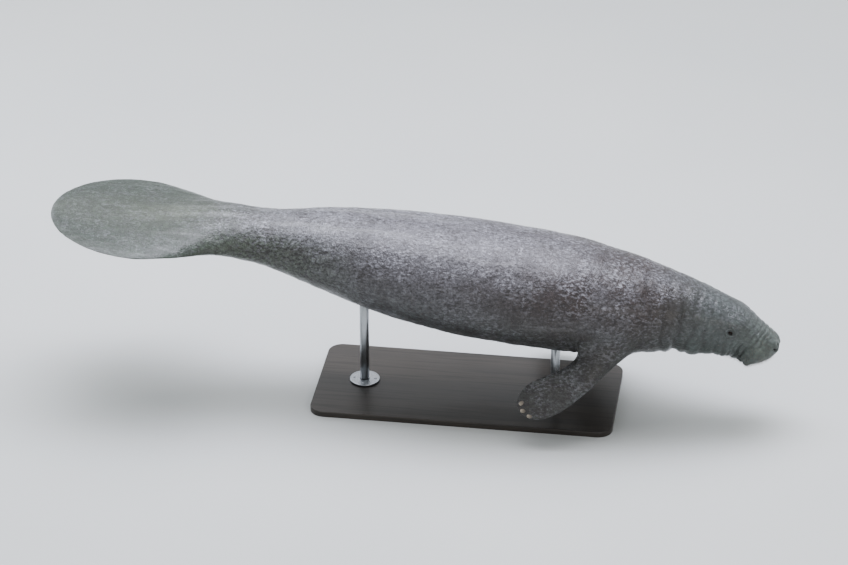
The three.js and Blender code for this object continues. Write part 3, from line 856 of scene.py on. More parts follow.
hide = mesh_object("hide", skin_points, net.faces)
out = point_normals(hide.data)
hide_at, hide_round, limb_share, folds, rims = skin_data.T
hide_at = hide_at * 1000
print("mesh of", len(hide.data.polygons), "faces")

# %% Places of the nails
NAIL_SIZE, NAIL_SINK = np.array([12, 8.5, 4.5]), 0.35
NAIL_PLACES = ((0.93, 47), (0.965, 18), (0.955, -14))


def nail_frame(place, across, side):
    """Centre, along, sideways and out of a nail on the flipper's outer face."""
    angle = math.acos(across / (flipper_chord(place) * tip_share(np.array(place))))
    here = flipper_point(place, angle, side)[0, 0]
    along = normalised(flipper_point(place + 0.01, angle, side)[0, 0] - here)
    out = normalised(np.cross(flipper_point(place, angle + 0.02, side)[0, 0] - here, along) * -side)
    return here - out * NAIL_SINK * NAIL_SIZE[2], along, np.cross(out, along), out


nail_frames = {(side, i): nail_frame(*place, side) for side in (1, -1) for i, place in enumerate(NAIL_PLACES)}
print(len(nail_frames), "nails")

# %% Fat and wrinkles
on_face = 1 - smooth(hide_at, 420, 620)
on_fan = smooth(hide_at, 2250, 2450)
calm = 1 - np.clip(rims + smooth(folds, 0.2, 0.8) * 0.5, 0, 1)
eye_gap = np.minimum(*(np.linalg.norm(skin_points - eye_places[side][0], axis=1) for side in (1, -1)))
calm *= smooth(eye_gap, 12, 34)
push = 1.3 * wander(skin_points, 95, 11) * (1 - 0.6 * on_fan) * (1 - on_face * 0.5)
push += 0.8 * wander(skin_points, 34, 12) * (1 - 0.5 * on_fan)

# Winding wrinkles: closeness along the axes, size, seed, depth, width, and where they lie
for closeness, size, seed, depth, width, where in (
    ((1.6, 1, 1), 26, 13, 0.8, 0.17, on_face),
    ((1, 1, 1.5), 15, 14, 0.45, 0.2, on_face),
    ((2.4, 1, 1), 120, 15, 1.1, 0.13, (1 - on_face) * (1 - on_fan)),
):
    push -= depth * bell(wander(skin_points * np.array(closeness), size, seed), 0, width) * where
arm = smooth(limb_share, 0.02, 0.1)
push = push * (1 - arm) + arm * 0.5 * wander(skin_points, 17, 16) * (1 - smooth(limb_share, 0.9, 1))

# The middle ridge of the fan, higher above than below
ridge = bell(np.abs(hide_round * 2 - 1), 1, 0.10) * band(hide_at, 2150, 2560, 230)
push += 4.5 * ridge * (hide_round < 0.5) + 2.5 * ridge * (hide_round > 0.5)

# Faint rays that run out over the fan to its rim
fan_rays = wander(skin_points * np.array([0.28, 1, 1]), 24, 18)
push += 0.9 * fan_rays * on_fan * (1 - smooth(hide_at, 2940, 3000))
push *= calm
print("relief from", round(float(push.min()), 1), "to", round(float(push.max()), 1), "mm")

# %% [markdown]
# A nail grows out of a cuff of skin. The hide sinks under the nail and rises round it, most at its
# root. After that the relief is applied, and the numbers that the materials need are stored.

# %% Cuffs of the nails
for origin, along, sideways, nail_out in nail_frames.values():
    rel = skin_points - origin
    x, y, z = rel @ along / NAIL_SIZE[0], rel @ sideways / NAIL_SIZE[1], rel @ nail_out
    q = np.hypot(x, y)
    near = (np.abs(z) < 9) * smooth(out @ nail_out, 0.4, 0.85) * (q < 2.6)
    cuff = 2.2 * bell(q, 1.24, 0.24) * (1 - 0.7 * smooth(x, 0.1, 0.9))
    push += near * (cuff - 1.8 * (1 - smooth(q, 0.75, 1.0)))
skin_points = skin_points + out * push[:, None]
hide.data.vertices.foreach_set("co", (skin_points * MM).ravel())
hide.data.update()


def store(obj, **numbers):
    """Store numbers with the points of a mesh, under their names."""
    for name, values in numbers.items():
        obj.data.attributes.new(name, "FLOAT", "POINT").data.foreach_set("value", values)


store(hide, place=hide_at / 1000, around=hide_round, crease=folds, rim=rims)
flat_map = hide.data.uv_layers.new(name="OFBake")
flat_map.data.foreach_set("uv", np.array(net.maps).ravel())
hide_box = skin_points.min(axis=0), skin_points.max(axis=0)
print("hide from", np.round(hide_box[0]), "to", np.round(hide_box[1]))

# %% [markdown]
# ## Materials
# Every finish below starts from what the real thing is made of, and is built from nodes in code. One
# function adds a node of any kind with its settings and links, and shares its way of filling sockets
# with the shaders. Another turns a painter's hex colour into the linear light that Blender counts in.

# %% Nodes and colours
def colour(hex_code):
    """An sRGB hex colour as linear red, green, blue and alpha."""
    channels = [int(hex_code[i:i + 2], 16) / 255 for i in (1, 3, 5)]
    return (*(c / 12.92 if c <= 0.04045 else ((c + 0.055) / 1.055) ** 2.4 for c in channels), 1.0)


def plug(tree, made, inputs):
    """Set sockets, by name or number, to a value, a socket, or the first output of a node."""
    for name, value in inputs.items():
        if isinstance(value, bpy.types.Node):
            value = next(socket for socket in value.outputs if socket.enabled)
        if isinstance(value, bpy.types.NodeSocket):
            tree.links.new(value, made.inputs[name])
        else:
            made.inputs[name].default_value = value


def node(tree, kind, inputs=None, stops=(), **settings):
    """Add a node with its settings, its inputs as in plug, and the stops of its colour ramp."""
    made = tree.nodes.new(kind)
    for name, value in settings.items():
        setattr(made, name, value)
    plug(tree, made, inputs or {})
    for i, (position, value) in enumerate(stops):
        elements = made.color_ramp.elements
        element = elements[i] if i < len(elements) else elements.new(position)
        element.position = position
        element.color = colour(value) if isinstance(value, str) else (value, value, value, 1)
    return made


def new_material(name):
    """A new material with its tree and its shader."""
    made = bpy.data.materials.new(name)
    made.use_nodes = True
    return made, made.node_tree, made.node_tree.nodes["Principled BSDF"]


print("mid grey #808080 is", round(colour("#808080")[0], 3), "in linear light")

# %% [markdown]
# Four patterns are all that the finishes need. Noise gives patches of a known size in millimetres. A
# number stored with the mesh tells the material where it is on the animal. Thin winding wrinkles are
# where a noise crosses its middle. And a colour is laid over another through a mask, as with a glaze.

# %% Patterns
def stored(tree, name, low, high):
    """A number stored with the mesh, as a share: 0 at low and 1 at high, either way round."""
    value = node(tree, "ShaderNodeAttribute", attribute_name=name).outputs["Fac"]
    return node(tree, "ShaderNodeMapRange", {"Value": value, "From Min": low, "From Max": high},
                interpolation_type="SMOOTHSTEP")


def noise_of(tree, size_mm, detail=3.0, roughness=0.5, shift=0.0, stretch=(1, 1, 1)):
    """Noise with patches of about this size."""
    coords = node(tree, "ShaderNodeTexCoord").outputs["Object"]
    where = node(tree, "ShaderNodeMapping", {
        "Vector": coords, "Location": (shift, shift, shift), "Scale": stretch})
    return node(tree, "ShaderNodeTexNoise", {
        "Vector": where, "Scale": 500 / size_mm, "Detail": detail, "Roughness": roughness}).outputs["Fac"]


def patches(tree, size_mm, low, high, *noise_settings, **more):
    """A mask of patches of about this size: 0 where the noise is under low, 1 where it is over high."""
    noise_here = noise_of(tree, size_mm, *noise_settings, **more)
    return node(tree, "ShaderNodeMapRange", {"Value": noise_here, "From Min": low, "From Max": high},
                interpolation_type="SMOOTHSTEP")


def wrinkles_of(tree, size_mm, width, stretch, shift):
    """0 in thin winding wrinkles, 1 on the hide between them."""
    off_middle = node(tree, "ShaderNodeMath", {0: noise_of(tree, size_mm, 4, 0.55, shift, stretch), 1: 0.5},
                      operation="SUBTRACT")
    return node(tree, "ShaderNodeMapRange", {
        "Value": node(tree, "ShaderNodeMath", {0: off_middle}, operation="ABSOLUTE"), "From Max": width},
        interpolation_type="SMOOTHSTEP")


def lay(tree, ground, over, *amounts):
    """Lay a hex colour over the ground, as strongly as the product of the amounts. An amount is a number
    or a node, or the name, low and high of a stored number, or the size, low and high of patches."""
    strength = 1.0
    for amount in amounts:
        if isinstance(amount, tuple):
            amount = (stored if isinstance(amount[0], str) else patches)(tree, *amount)
        strength = amount if strength == 1.0 else node(
            tree, "ShaderNodeMath", {0: strength, 1: amount}, operation="MULTIPLY")
    return node(tree, "ShaderNodeMix", {0: strength, 6: ground, 7: colour(over)}, data_type="RGBA")


def settle(obj, finish, slot, *replaced):
    """Give a finished piece its material, let it ride on the one body and stand for its solids."""
    if finish:
        obj.data.materials.append(finish)
    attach(obj, "root")
    if replaced:
        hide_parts(*replaced)


print("patterns ready")

# %% [markdown]
# ## The hide
# Manatee hide is grey, thick and finely wrinkled, like old rubber, with dark and brown mottles from a
# thumbnail to a hand across. The stored numbers place its broad colours: brown on neck and shoulder,
# blue green and plainer on the head, green on the fan. A painted lavender sheen lightens the top of the
# back, and painted shade darkens the lower flank and the fan away from its middle. A painted highlight
# runs along the fan's middle, and painted light lifts the lower sides of the tail stock.

# %% Broad colours of the hide
wet_hide, tree, shader = new_material("wet_wrinkled_hide")
ON_HEAD, OFF_HEAD = ("place", 0.60, 0.28), ("place", 0.30, 0.62)
ON_FAN, OFF_FAN = ("place", 2.12, 2.5), ("place", 2.4, 1.95)
BROAD_COLOURS = (
    ("#483e3c", ("place", 0.28, 0.42), ("place", 1.4, 0.8), (90, 0.26, 0.56, 4, 0.6, 3)),  # neck, shoulder
    ("#525a57", ON_HEAD, 0.8),
    ("#77837a", ("place", 0.24, 0.06), ("around", 0.8, 0.4), 0.48),  # top and sides of the muzzle
    ("#4d5847", ("place", 1.5, 2.45), 0.85),  # tail stock and fan
    # painted sheen: the top of the back is laid lighter and lavender, as the shine of a wet back
    ("#a09fa9", ("around", 0.40, 0.05), ("place", 0.6, 1.15), OFF_FAN, 0.45),  # back
    # painted shade: the lower flank and belly are laid darker
    ("#434f49", ("around", 0.38, 0.66), ("place", 2.3, 1.4), 0.55),  # flank
    # painted light: the lower sides and underside of the tail stock are laid lighter, against the shade there
    ("#707a6c", ("around", 0.2, 0.42), ("place", 1.6, 2.1), 0.5),  # sides of the tail stock
    # painted shade: the fan is laid darker away from its top middle, most towards its rims and underneath
    ("#38453a", ("around", 0.03, 0.28), ON_FAN, 0.75),  # edges of the fan
    # painted highlight: a pale line along the top of the fan's middle ridge
    ("#898f80", ("around", 0.10, 0.02), ON_FAN, ("place", 2.8, 2.45), 0.4),  # the fan's middle
)
ground = node(tree, "ShaderNodeValToRGB", {"Fac": noise_of(tree, 150, 4, 0.55)},
              stops=((0.30, "#5d5b5e"), (0.5, "#6c6a6e"), (0.72, "#7d7c81")))
for over, *amounts in BROAD_COLOURS:
    ground = lay(tree, ground, over, *amounts)
print("broad colours from", len(tree.nodes), "nodes")

# %% [markdown]
# On these lie mottles as wide as three fingers, and a salt and pepper grain as fine as the pebbles of
# the hide. Both are weaker on head and fan. The light grain is partly painted glints, so it is laid
# stronger on the top of the body. Faint pale streaks run along the body, and along the top of the back
# and tail stock long pale streaks are a painted highlight. Painted shade darkens the hollows between
# the pebbles, the wrinkles and the folds, and is darkest in the slits of the lids, nostrils and mouth
# and in the ears.

# %% Mottles, grain and scrapes
PEBBLE = 5.5
ALONG_BODY = (0.6, 1, 1)
busy = node(tree, "ShaderNodeMath", {0: stored(tree, *ON_HEAD), 1: -0.65, 2: 1.0}, operation="MULTIPLY_ADD")
busy = node(tree, "ShaderNodeMath", {0: stored(tree, *ON_FAN), 1: -0.65, 2: busy}, operation="MULTIPLY_ADD")
# painted glints: the light grain is laid stronger on the top of the body
speckle_and_glints_up_top = node(tree, "ShaderNodeMath", {0: stored(tree, "around", 0.5, 0.2), 1: 0.36, 2: 0.24},
               operation="MULTIPLY_ADD")
pebbles = node(tree, "ShaderNodeTexVoronoi", {
    "Vector": node(tree, "ShaderNodeTexCoord").outputs["Object"], "Scale": 1000 / PEBBLE})
# painted shade: the hide is laid darker in the hollows between the pebbles
valley_shade = node(tree, "ShaderNodeMapRange", {
    "Value": pebbles.outputs["Distance"], "From Min": 0.3, "From Max": 0.75})
wrinkles = node(tree, "ShaderNodeMath", {
    0: wrinkles_of(tree, 34, 0.08, (1.7, 1, 1), 41), 1: wrinkles_of(tree, 18, 0.08, (1.3, 1, 1), 47)},
    operation="MULTIPLY")
# painted shade: the hide is laid darker in the thin wrinkles
wrinkle_shade = node(tree, "ShaderNodeMath", {0: wrinkles, 1: -0.3, 2: 0.3}, operation="MULTIPLY_ADD")
at_rim = stored(tree, "rim", 0.0, 1.0)
MARKS = (
    ("#453f3e", (34, 0.49, 0.66, 5, 0.68, 7), busy, 0.42),  # mottles
    ("#353031", valley_shade, busy, 0.45),
    # dark grain, and light grain that is partly painted glints, laid stronger on the top of the body
    ("#363233", (5.5, 0.45, 0.6, 3, 0.7, 11, ALONG_BODY), (80, 0.2, 0.6, 3, 0.6, 13), busy, 0.8),
    ("#b0b0b9", (4.5, 0.47, 0.62, 3, 0.7, 15, ALONG_BODY), (60, 0.3, 0.6, 3, 0.6, 17), busy, speckle_and_glints_up_top),
    # faint pale streaks all over, and a painted highlight of pale streaks along the top of the back and tail
    # stock
    ("#a5a5a6", (12, 0.57, 0.72, 3, 0.55, 19, (0.07, 1, 1)), OFF_HEAD, 0.15),
    ("#b9b9ba", (22, 0.50, 0.68, 4, 0.6, 27, (0.08, 1, 1)), ("around", 0.26, 0.08), ("place", 1.1, 1.7),
     ("place", 2.6, 2.2), 0.32),
    ("#2f2c2b", wrinkle_shade),
    # painted shade in the folds, deeper folds darker
    ("#2b2827", ("crease", 0.0, 1.0), 0.42),
    # painted shade, nearly black, in the slits of the lids, nostrils and mouth and in the ears
    ("#1d1918", at_rim, 0.85),
)
for over, *amounts in MARKS:
    ground = lay(tree, ground, over, *amounts)
print("hide colours from", len(tree.nodes), "nodes")

# %% [markdown]
# The hide is wet. Water gives it a thin clear coat over a soft broad shine, and the shine breaks up on
# the grain, which is what makes a wet back sparkle. The bump is in real millimetres: broad unevenness,
# wrinkles of three sizes, pebbles of five and a half millimetres and a fine grain.

# %% Grain and wet shine
height = 0.0
for pattern, rise in (
    (noise_of(tree, 38, 3, 0.55), 2.2),
    (noise_of(tree, 15, 3, 0.65, shift=31), 2.9),
    (noise_of(tree, 7, 2, 0.6, shift=35), 1.1),
    (wrinkles, 0.95),
    (wrinkles_of(tree, 9, 0.11, (1.2, 1, 1), 53), 0.42),
    (pebbles.outputs["Distance"], -0.7),
    (noise_of(tree, 3, 2, 0.5), 0.18),
):
    height = node(tree, "ShaderNodeMath", {0: pattern, 1: rise, 2: height}, operation="MULTIPLY_ADD")
roughly = node(tree, "ShaderNodeMath", {0: busy, 1: 0.45, 2: 0.55}, operation="MULTIPLY_ADD")
bump = node(tree, "ShaderNodeBump", {
    "Height": node(tree, "ShaderNodeMath", {0: height, 1: roughly}, operation="MULTIPLY"), "Strength": 0.95,
    "Distance": MM})
gloss = node(tree, "ShaderNodeValToRGB", {"Fac": noise_of(tree, 30, 3, 0.6, shift=23)},
             stops=((0.3, 0.30), (0.7, 0.48)))
gloss = node(tree, "ShaderNodeMix", {0: at_rim, 6: gloss, 7: (0.22, 0.22, 0.22, 1)}, data_type="RGBA")
plug(tree, shader, {"Base Color": ground, "Normal": bump, "Roughness": gloss, "IOR": 1.45,
                    "Coat Weight": 0.24, "Coat Roughness": 0.16, "Coat IOR": 1.36})
settle(hide, wet_hide, "hide", "muzzle", "lower_jaw", "head", "neck", "trunk", "tail_stock", "tail_fan",
       "flipper_left", "flipper_right")
print("the hide replaces nine solids")

# %% [markdown]
# ## Eyes
# A manatee's eye is a dark ball two centimetres across with a round pupil. Each is a whole ball on the
# axis of its socket, with a slightly bulging cornea. The distance of each point from that axis is
# stored as an angle, and the colours are rings of that angle, as an eye maker paints them.

# %% Wet eye
EYE_RINGS, EYE_COLUMNS = 44, 64
CORNEA_BULGE, CORNEA_ANGLE = 0.5, 0.62

eye_gloss, tree, shader = new_material("wet_dark_eye")
off_axis = node(tree, "ShaderNodeAttribute", attribute_name="off_axis").outputs["Fac"]
iris = node(tree, "ShaderNodeValToRGB", {"Fac": off_axis}, stops=(
    (0.0, "#030202"), (0.27, "#040303"), (0.31, "#1a0f08"), (0.52, "#35210f"), (0.62, "#0f0906"),
    (0.70, "#241c19"), (1.0, "#3a302c")))
iris = lay(tree, iris, "#120b07", noise_of(tree, 1.6, 3, 0.6), 0.5)
plug(tree, shader, {"Base Color": iris, "Roughness": 0.05, "IOR": 1.34})


def band_faces(rings, around, looped=False):
    """Faces between neighbouring rings of points, and from the last ring to the first if looped."""
    starts = [(r * around, (r + 1) % rings * around) for r in range(rings if looped else rings - 1)]
    return [(here + i, here + (i + 1) % around, after + (i + 1) % around, after + i)
            for here, after in starts for i in range(around)]


def pole_faces(rings, around):
    """Triangles from the first and the last ring to two poles, which are the last two points."""
    top, last = rings * around, (rings - 1) * around
    return [face for i in range(around) for face in (
        (top, i, (i + 1) % around), (top + 1, last + (i + 1) % around, last + i))]


def ball(frame_of_ball, radius):
    """Points, faces and angle from the axis of a ball that looks along its out direction."""
    origin, along, upward, out = frame_of_ball
    polar = np.linspace(0, np.pi, EYE_RINGS + 1)[1:-1]
    turn = np.arange(EYE_COLUMNS) / EYE_COLUMNS * 2 * np.pi
    size = radius + CORNEA_BULGE * (1 - smooth(polar, 0.2, CORNEA_ANGLE))
    spread = (size * np.sin(polar))[:, None]
    points = (origin + out * (size * np.cos(polar))[:, None, None]
              + along * (spread * np.cos(turn))[..., None] + upward * (spread * np.sin(turn))[..., None])
    points = np.vstack([points.reshape(-1, 3), origin + out * (radius + CORNEA_BULGE), origin - out * radius])
    faces = band_faces(EYE_RINGS - 1, EYE_COLUMNS) + pole_faces(EYE_RINGS - 1, EYE_COLUMNS)
    angles = np.concatenate([np.repeat(polar, EYE_COLUMNS), [0, np.pi]])
    return points, faces, angles


def face_outwards(obj):
    """Recalculate the facing of a closed mesh, so that every face points out."""
    net_of = bmesh.new()
    net_of.from_mesh(obj.data)
    bmesh.ops.recalc_face_normals(net_of, faces=net_of.faces)
    net_of.to_mesh(obj.data)
    net_of.free()


for side, name in ((1, "left"), (-1, "right")):
    points, faces, angles = ball(eye_places[side], EYE_RADIUS)
    eye = mesh_object(f"eyeball_{name}", points, faces)
    face_outwards(eye)
    store(eye, off_axis=angles)
    settle(eye, eye_gloss, "eye", f"eye_{name}")
print("two eyes of", 2 * EYE_RADIUS, "mm")

# %% [markdown]
# ## Nails
# Three small nails sit on the outer face near each flipper's tip, as on an elephant's foot. Each is a
# domed plate of horn with fine ridges along it and a blunt free edge. Its root dips into the rim of
# skin that was raised for it.

# %% Horn nails
NAIL_RINGS, NAIL_COLUMNS, NAIL_TILT = 26, 56, 0.3

horn, tree, shader = new_material("wet_horn_nail")
reach_out = node(tree, "ShaderNodeAttribute", attribute_name="reach").outputs["Fac"]
streak = node(tree, "ShaderNodeAttribute", attribute_name="streak").outputs["Fac"]
plate = node(tree, "ShaderNodeValToRGB", {"Fac": reach_out}, stops=(
    (0.0, "#453f3b"), (0.25, "#696158"), (0.62, "#877e72"), (0.93, "#a39a8c"), (1.0, "#6f675c")))
across = node(tree, "ShaderNodeCombineXYZ", {
    "X": node(tree, "ShaderNodeMath", {0: streak, 1: 18.0}, operation="MULTIPLY"),
    "Y": node(tree, "ShaderNodeMath", {0: reach_out, 1: 1.6}, operation="MULTIPLY")})
lines = node(tree, "ShaderNodeTexNoise", {"Vector": across, "Scale": 1.0, "Detail": 3.0}).outputs["Fac"]
dark_lines = node(tree, "ShaderNodeMapRange", {"Value": lines, "From Min": 0.5, "From Max": 0.68})
plate = lay(tree, plate, "#6b6257", dark_lines, 0.4)
plate = lay(tree, plate, "#5d5347", (4, 0.56, 0.66, 3, 0.6), 0.3)
height = node(tree, "ShaderNodeMath", {0: noise_of(tree, 1.5), 1: 0.4, 2: lines}, operation="MULTIPLY_ADD")
nail_bump = node(tree, "ShaderNodeBump", {"Height": height, "Strength": 0.8, "Distance": 0.25 * MM})
plug(tree, shader, {"Base Color": plate, "Normal": nail_bump, "Roughness": 0.34, "IOR": 1.54})


def nail_plate(place):
    """A closed domed plate in the nail's frame, with its reach and cross position from 0 to 1."""
    origin, along, sideways, out = place
    polar = np.linspace(0, np.pi, NAIL_RINGS + 1)[1:-1][:, None]
    turn = (np.arange(NAIL_COLUMNS) / NAIL_COLUMNS * 2 * np.pi)[None]
    x = signed_power(np.cos(turn), 0.86) * np.sin(polar) ** 0.8
    y = signed_power(np.sin(turn), 0.86) * np.sin(polar) ** 0.8
    z = np.cos(polar) + 0 * turn
    ridges = 0.035 * np.cos(y * 21) * (z > 0) * (1 - x * x)
    step = 0.06 * np.cos(x * 15) * (z > 0) * (1 - x * x)
    lift = np.where(z > 0, z * (0.86 + 0.22 * smooth(x, 0.2, 1.0)) + ridges + step * 0.5, z)
    lift = lift + NAIL_TILT * x
    cells = np.stack([x * NAIL_SIZE[0], y * NAIL_SIZE[1], lift * NAIL_SIZE[2]], -1).reshape(-1, 3)
    cells = np.vstack([cells, [0, 0, 0.86 * NAIL_SIZE[2]], [0, 0, -NAIL_SIZE[2]]])
    points = origin + cells[:, :1] * along + cells[:, 1:2] * sideways + cells[:, 2:] * out
    faces = band_faces(NAIL_RINGS - 1, NAIL_COLUMNS) + pole_faces(NAIL_RINGS - 1, NAIL_COLUMNS)
    return points, faces, cells[:, 0] / NAIL_SIZE[0] / 2 + 0.5, cells[:, 1] / NAIL_SIZE[1] / 2 + 0.5


for (side, i), place in nail_frames.items():
    name = f"{'left' if side > 0 else 'right'}_{i + 1}"
    points, faces, reach_values, streak_values = nail_plate(place)
    nail = mesh_object(f"horn_{name}", points, faces)
    face_outwards(nail)
    store(nail, reach=reach_values, streak=streak_values)
    settle(nail, horn, "nail", f"nail_{name}")
print(len(nail_frames), "nails of", 2 * NAIL_SIZE[0], "by", 2 * NAIL_SIZE[1], "mm")

# %% [markdown]
# ## The stand
# The stand is a flat board of lacquered wood with two steel rods. Each rod stands in a round steel
# flange, fixed by four screws, and goes a little way into the belly, where it hides its own end. All
# of these are turned or sawn shapes, so each is made from the outline that a lathe or router follows.

# %% Turned and routed shapes
BASE_LENGTH, BASE_WIDTH, BASE_HEIGHT, BASE_CORNER, BASE_ROUND = 1240, 560, 24, 60, 3
ROD_RADIUS, ROD_PLACES = 19, {"front": 360, "rear": -430}
FLANGE_RADIUS, FLANGE_HEIGHT, STAND_GAP = 62, 9, 0.4
TURN_SIDES, CORNER_STEPS = 96, 20
ROD_INTO_FLESH = 12


def closed_rings(name, outlines):
    """A closed mesh through rings of points, with a flat face at each end."""
    around = len(outlines[0])
    points = np.vstack(outlines)
    faces = [tuple(reversed(range(around))), tuple(range(len(points) - around, len(points)))]
    obj = mesh_object(name, points, faces + band_faces(len(outlines), around))
    face_outwards(obj)
    for face in obj.data.polygons:
        face.use_smooth = len(face.vertices) == 4
    return obj


def turned(profile, x=0.0, y=0.0, sides=TURN_SIDES):
    """Rings of points from a profile of (radius, height) points turned about an upright axis."""
    turn = np.arange(sides) / sides * 2 * np.pi
    return [np.stack([x + r * np.cos(turn), y + r * np.sin(turn), np.full(sides, z)], -1) for r, z in profile]


def mark_lathe_path(obj, outlines):
    """Store with each point how far the lathe's tool has come along the profile, in millimetres."""
    first = np.array([outline[0] for outline in outlines])
    path = np.concatenate([[0], np.cumsum(np.linalg.norm(np.diff(first, axis=0), axis=1))])
    store(obj, lathe_path=np.repeat(path, len(outlines[0])))


def rounded_edge(size, high, steps=5):
    """Inset and height of the steps of a rounded upper edge."""
    turn = np.linspace(0, np.pi / 2, steps)
    return [(size * (1 - math.cos(a)), high - size + size * math.sin(a)) for a in turn]


def board_outline(inset, z):
    half = np.array([BASE_LENGTH / 2 - BASE_CORNER, BASE_WIDTH / 2 - BASE_CORNER])
    points = []
    for quarter, (sx, sy) in enumerate(((1, 1), (-1, 1), (-1, -1), (1, -1))):
        for a in np.linspace(0, np.pi / 2, CORNER_STEPS) + quarter * np.pi / 2:
            r = BASE_CORNER - inset
            points.append((sx * half[0] + r * math.cos(a), sy * half[1] + r * math.sin(a), z))
    return np.array(points)


board_profile = [(1.2, 0), (0.35, 0.35), (0, 1.2), *rounded_edge(BASE_ROUND, BASE_HEIGHT),
                 (BASE_ROUND + 1.5, BASE_HEIGHT)]
board = closed_rings("stand_board", [board_outline(inset, z) for inset, z in board_profile])
print("board", BASE_LENGTH, "by", BASE_WIDTH, "mm")

# %% Rods and flanges
flange_foot = BASE_HEIGHT + STAND_GAP
flange_top = flange_foot + FLANGE_HEIGHT
rods, rings = {}, {}
for name, x in ROD_PLACES.items():
    y = float(spine[index_near(spine[:, 0], x), 1])
    beside = np.hypot(skin_points[:, 0] - x, skin_points[:, 1] - y) < ROD_RADIUS + 8
    flesh = float(skin_points[beside, 2].min()) + ROD_INTO_FLESH
    rod_profile = [(ROD_RADIUS - 1, flange_foot), (ROD_RADIUS, flange_foot + 1), (ROD_RADIUS, flesh - 1),
                   (ROD_RADIUS - 1, flesh)]
    rods[name] = closed_rings(f"stand_rod_{name}_steel", turned(rod_profile, x, y))
    bore = ROD_RADIUS + STAND_GAP
    outer = [(FLANGE_RADIUS - inset, z) for inset, z in rounded_edge(2.5, flange_top)]
    inner = [(bore + inset, z) for inset, z in reversed(rounded_edge(0.8, flange_top, 4))]
    profile = [(bore, flange_foot), (FLANGE_RADIUS - 0.8, flange_foot), (FLANGE_RADIUS, flange_foot + 0.8),
               *outer, (FLANGE_RADIUS - 4, flange_top), (bore + 4, flange_top), *inner]
    outline = turned(profile, x, y)
    faces = band_faces(len(outline), TURN_SIDES, looped=True)
    rings[name] = mesh_object(f"stand_ring_{name}", np.vstack(outline), faces)
    face_outwards(rings[name])
    mark_lathe_path(rings[name], outline)
    print(name, "rod from", flange_foot, "to", round(flesh), "mm")

# %% [markdown]
# The screws repeat, so Geometry Nodes set them out. One head is modelled, with a hexagon socket, and
# the tree puts copies of it on a circle. The radius and the number stay open as named inputs.

# %% Screws by Geometry Nodes
SCREW_RADIUS, SCREW_HEIGHT, SOCKET, SCREW_CIRCLE, SCREWS = 6.0, 3.2, 2.5, 44, 4
HEAD_SIDES = 36


def hexagon(apothem, turn):
    return apothem / np.cos((turn + np.pi / 6) % (np.pi / 3) - np.pi / 6)


turn = np.arange(HEAD_SIDES) / HEAD_SIDES * 2 * np.pi
head_profile = [(SCREW_RADIUS - 0.4, -0.5), (SCREW_RADIUS, 0.1), (SCREW_RADIUS, 0.9)]
head_profile += [(SCREW_RADIUS * math.cos(a) ** 0.7, 0.9 + (SCREW_HEIGHT - 0.9) * math.sin(a))
                 for a in np.linspace(0.25, 1.05, 5)]
head_rings = turned(head_profile, sides=HEAD_SIDES)
for size, z in ((SOCKET + 0.25, SCREW_HEIGHT - 0.1), (SOCKET, SCREW_HEIGHT - 0.35), (SOCKET, 0.9)):
    r = hexagon(size, turn)
    head_rings.append(np.stack([r * np.cos(turn), r * np.sin(turn), np.full(HEAD_SIDES, z)], -1))
screw_head = closed_rings("screw_head", head_rings)
mark_lathe_path(screw_head, head_rings)


def new_tree(name, sockets):
    """A Geometry Nodes tree with a geometry in and out and named inputs. Returns it and its input node."""
    made = bpy.data.node_groups.new(name, "GeometryNodeTree")
    made.interface.new_socket("Geometry", in_out="INPUT", socket_type="NodeSocketGeometry")
    for label, kind in sockets.items():
        made.interface.new_socket(label, in_out="INPUT", socket_type=f"NodeSocket{kind}")
    made.interface.new_socket("Geometry", in_out="OUTPUT", socket_type="NodeSocketGeometry")
    return made, made.nodes.new("NodeGroupInput").outputs


def grown(name, source, group, values):
    """Run a tree on a mesh object, with values by input name, and return the result as a plain mesh."""
    holder = bpy.data.objects.new(f"{name}_source", source.data.copy())
    bpy.context.scene.collection.objects.link(holder)
    modifier = holder.modifiers.new("tree", "NODES")
    modifier.node_group = group
    for item in group.interface.items_tree:
        if item.in_out == "INPUT" and item.name in values:
            modifier[item.identifier] = values[item.name]
    evaluated = holder.evaluated_get(bpy.context.evaluated_depsgraph_get())
    mesh = bpy.data.meshes.new_from_object(evaluated)
    mesh.name = name
    holder.modifiers.clear()
    bpy.data.objects.remove(holder)
    obj = bpy.data.objects.new(name, mesh)
    bpy.context.scene.collection.objects.link(obj)
    return obj


screw_tree, given = new_tree("screws_on_a_circle", {
    "Head": "Object", "Circle": "Float", "Number": "Int", "Centre": "Vector", "Material": "Material"})
circle = node(screw_tree, "GeometryNodeMeshCircle", {"Vertices": given["Number"], "Radius": given["Circle"]})
head = node(screw_tree, "GeometryNodeObjectInfo", {"Object": given["Head"]}, transform_space="ORIGINAL")
spin = node(screw_tree, "FunctionNodeRandomValue", {2: 0.0, 3: 6.28, "Seed": 5}, data_type="FLOAT")
spin = node(screw_tree, "ShaderNodeCombineXYZ", {"Z": spin.outputs[1]})
placed = node(screw_tree, "GeometryNodeInstanceOnPoints", {
    "Points": circle.outputs[0], "Instance": head.outputs["Geometry"], "Rotation": spin.outputs[0]})
moved = node(screw_tree, "GeometryNodeTransform", {"Geometry": placed, "Translation": given["Centre"]})
realized = node(screw_tree, "GeometryNodeRealizeInstances", {"Geometry": moved})
finish = node(screw_tree, "GeometryNodeSetMaterial", {"Geometry": realized, "Material": given["Material"]})
node(screw_tree, "NodeGroupOutput", {0: finish})
print("screw head", 2 * SCREW_RADIUS, "mm across")

# %% [markdown]
# ## Finishes of the stand
# The board is birch plywood with a dark stain under satin lacquer: the grain still shows as faint
# long lines. The rods are brushed stainless steel, drawn lengthwise, and the flanges are turned, so
# their marks run in rings.

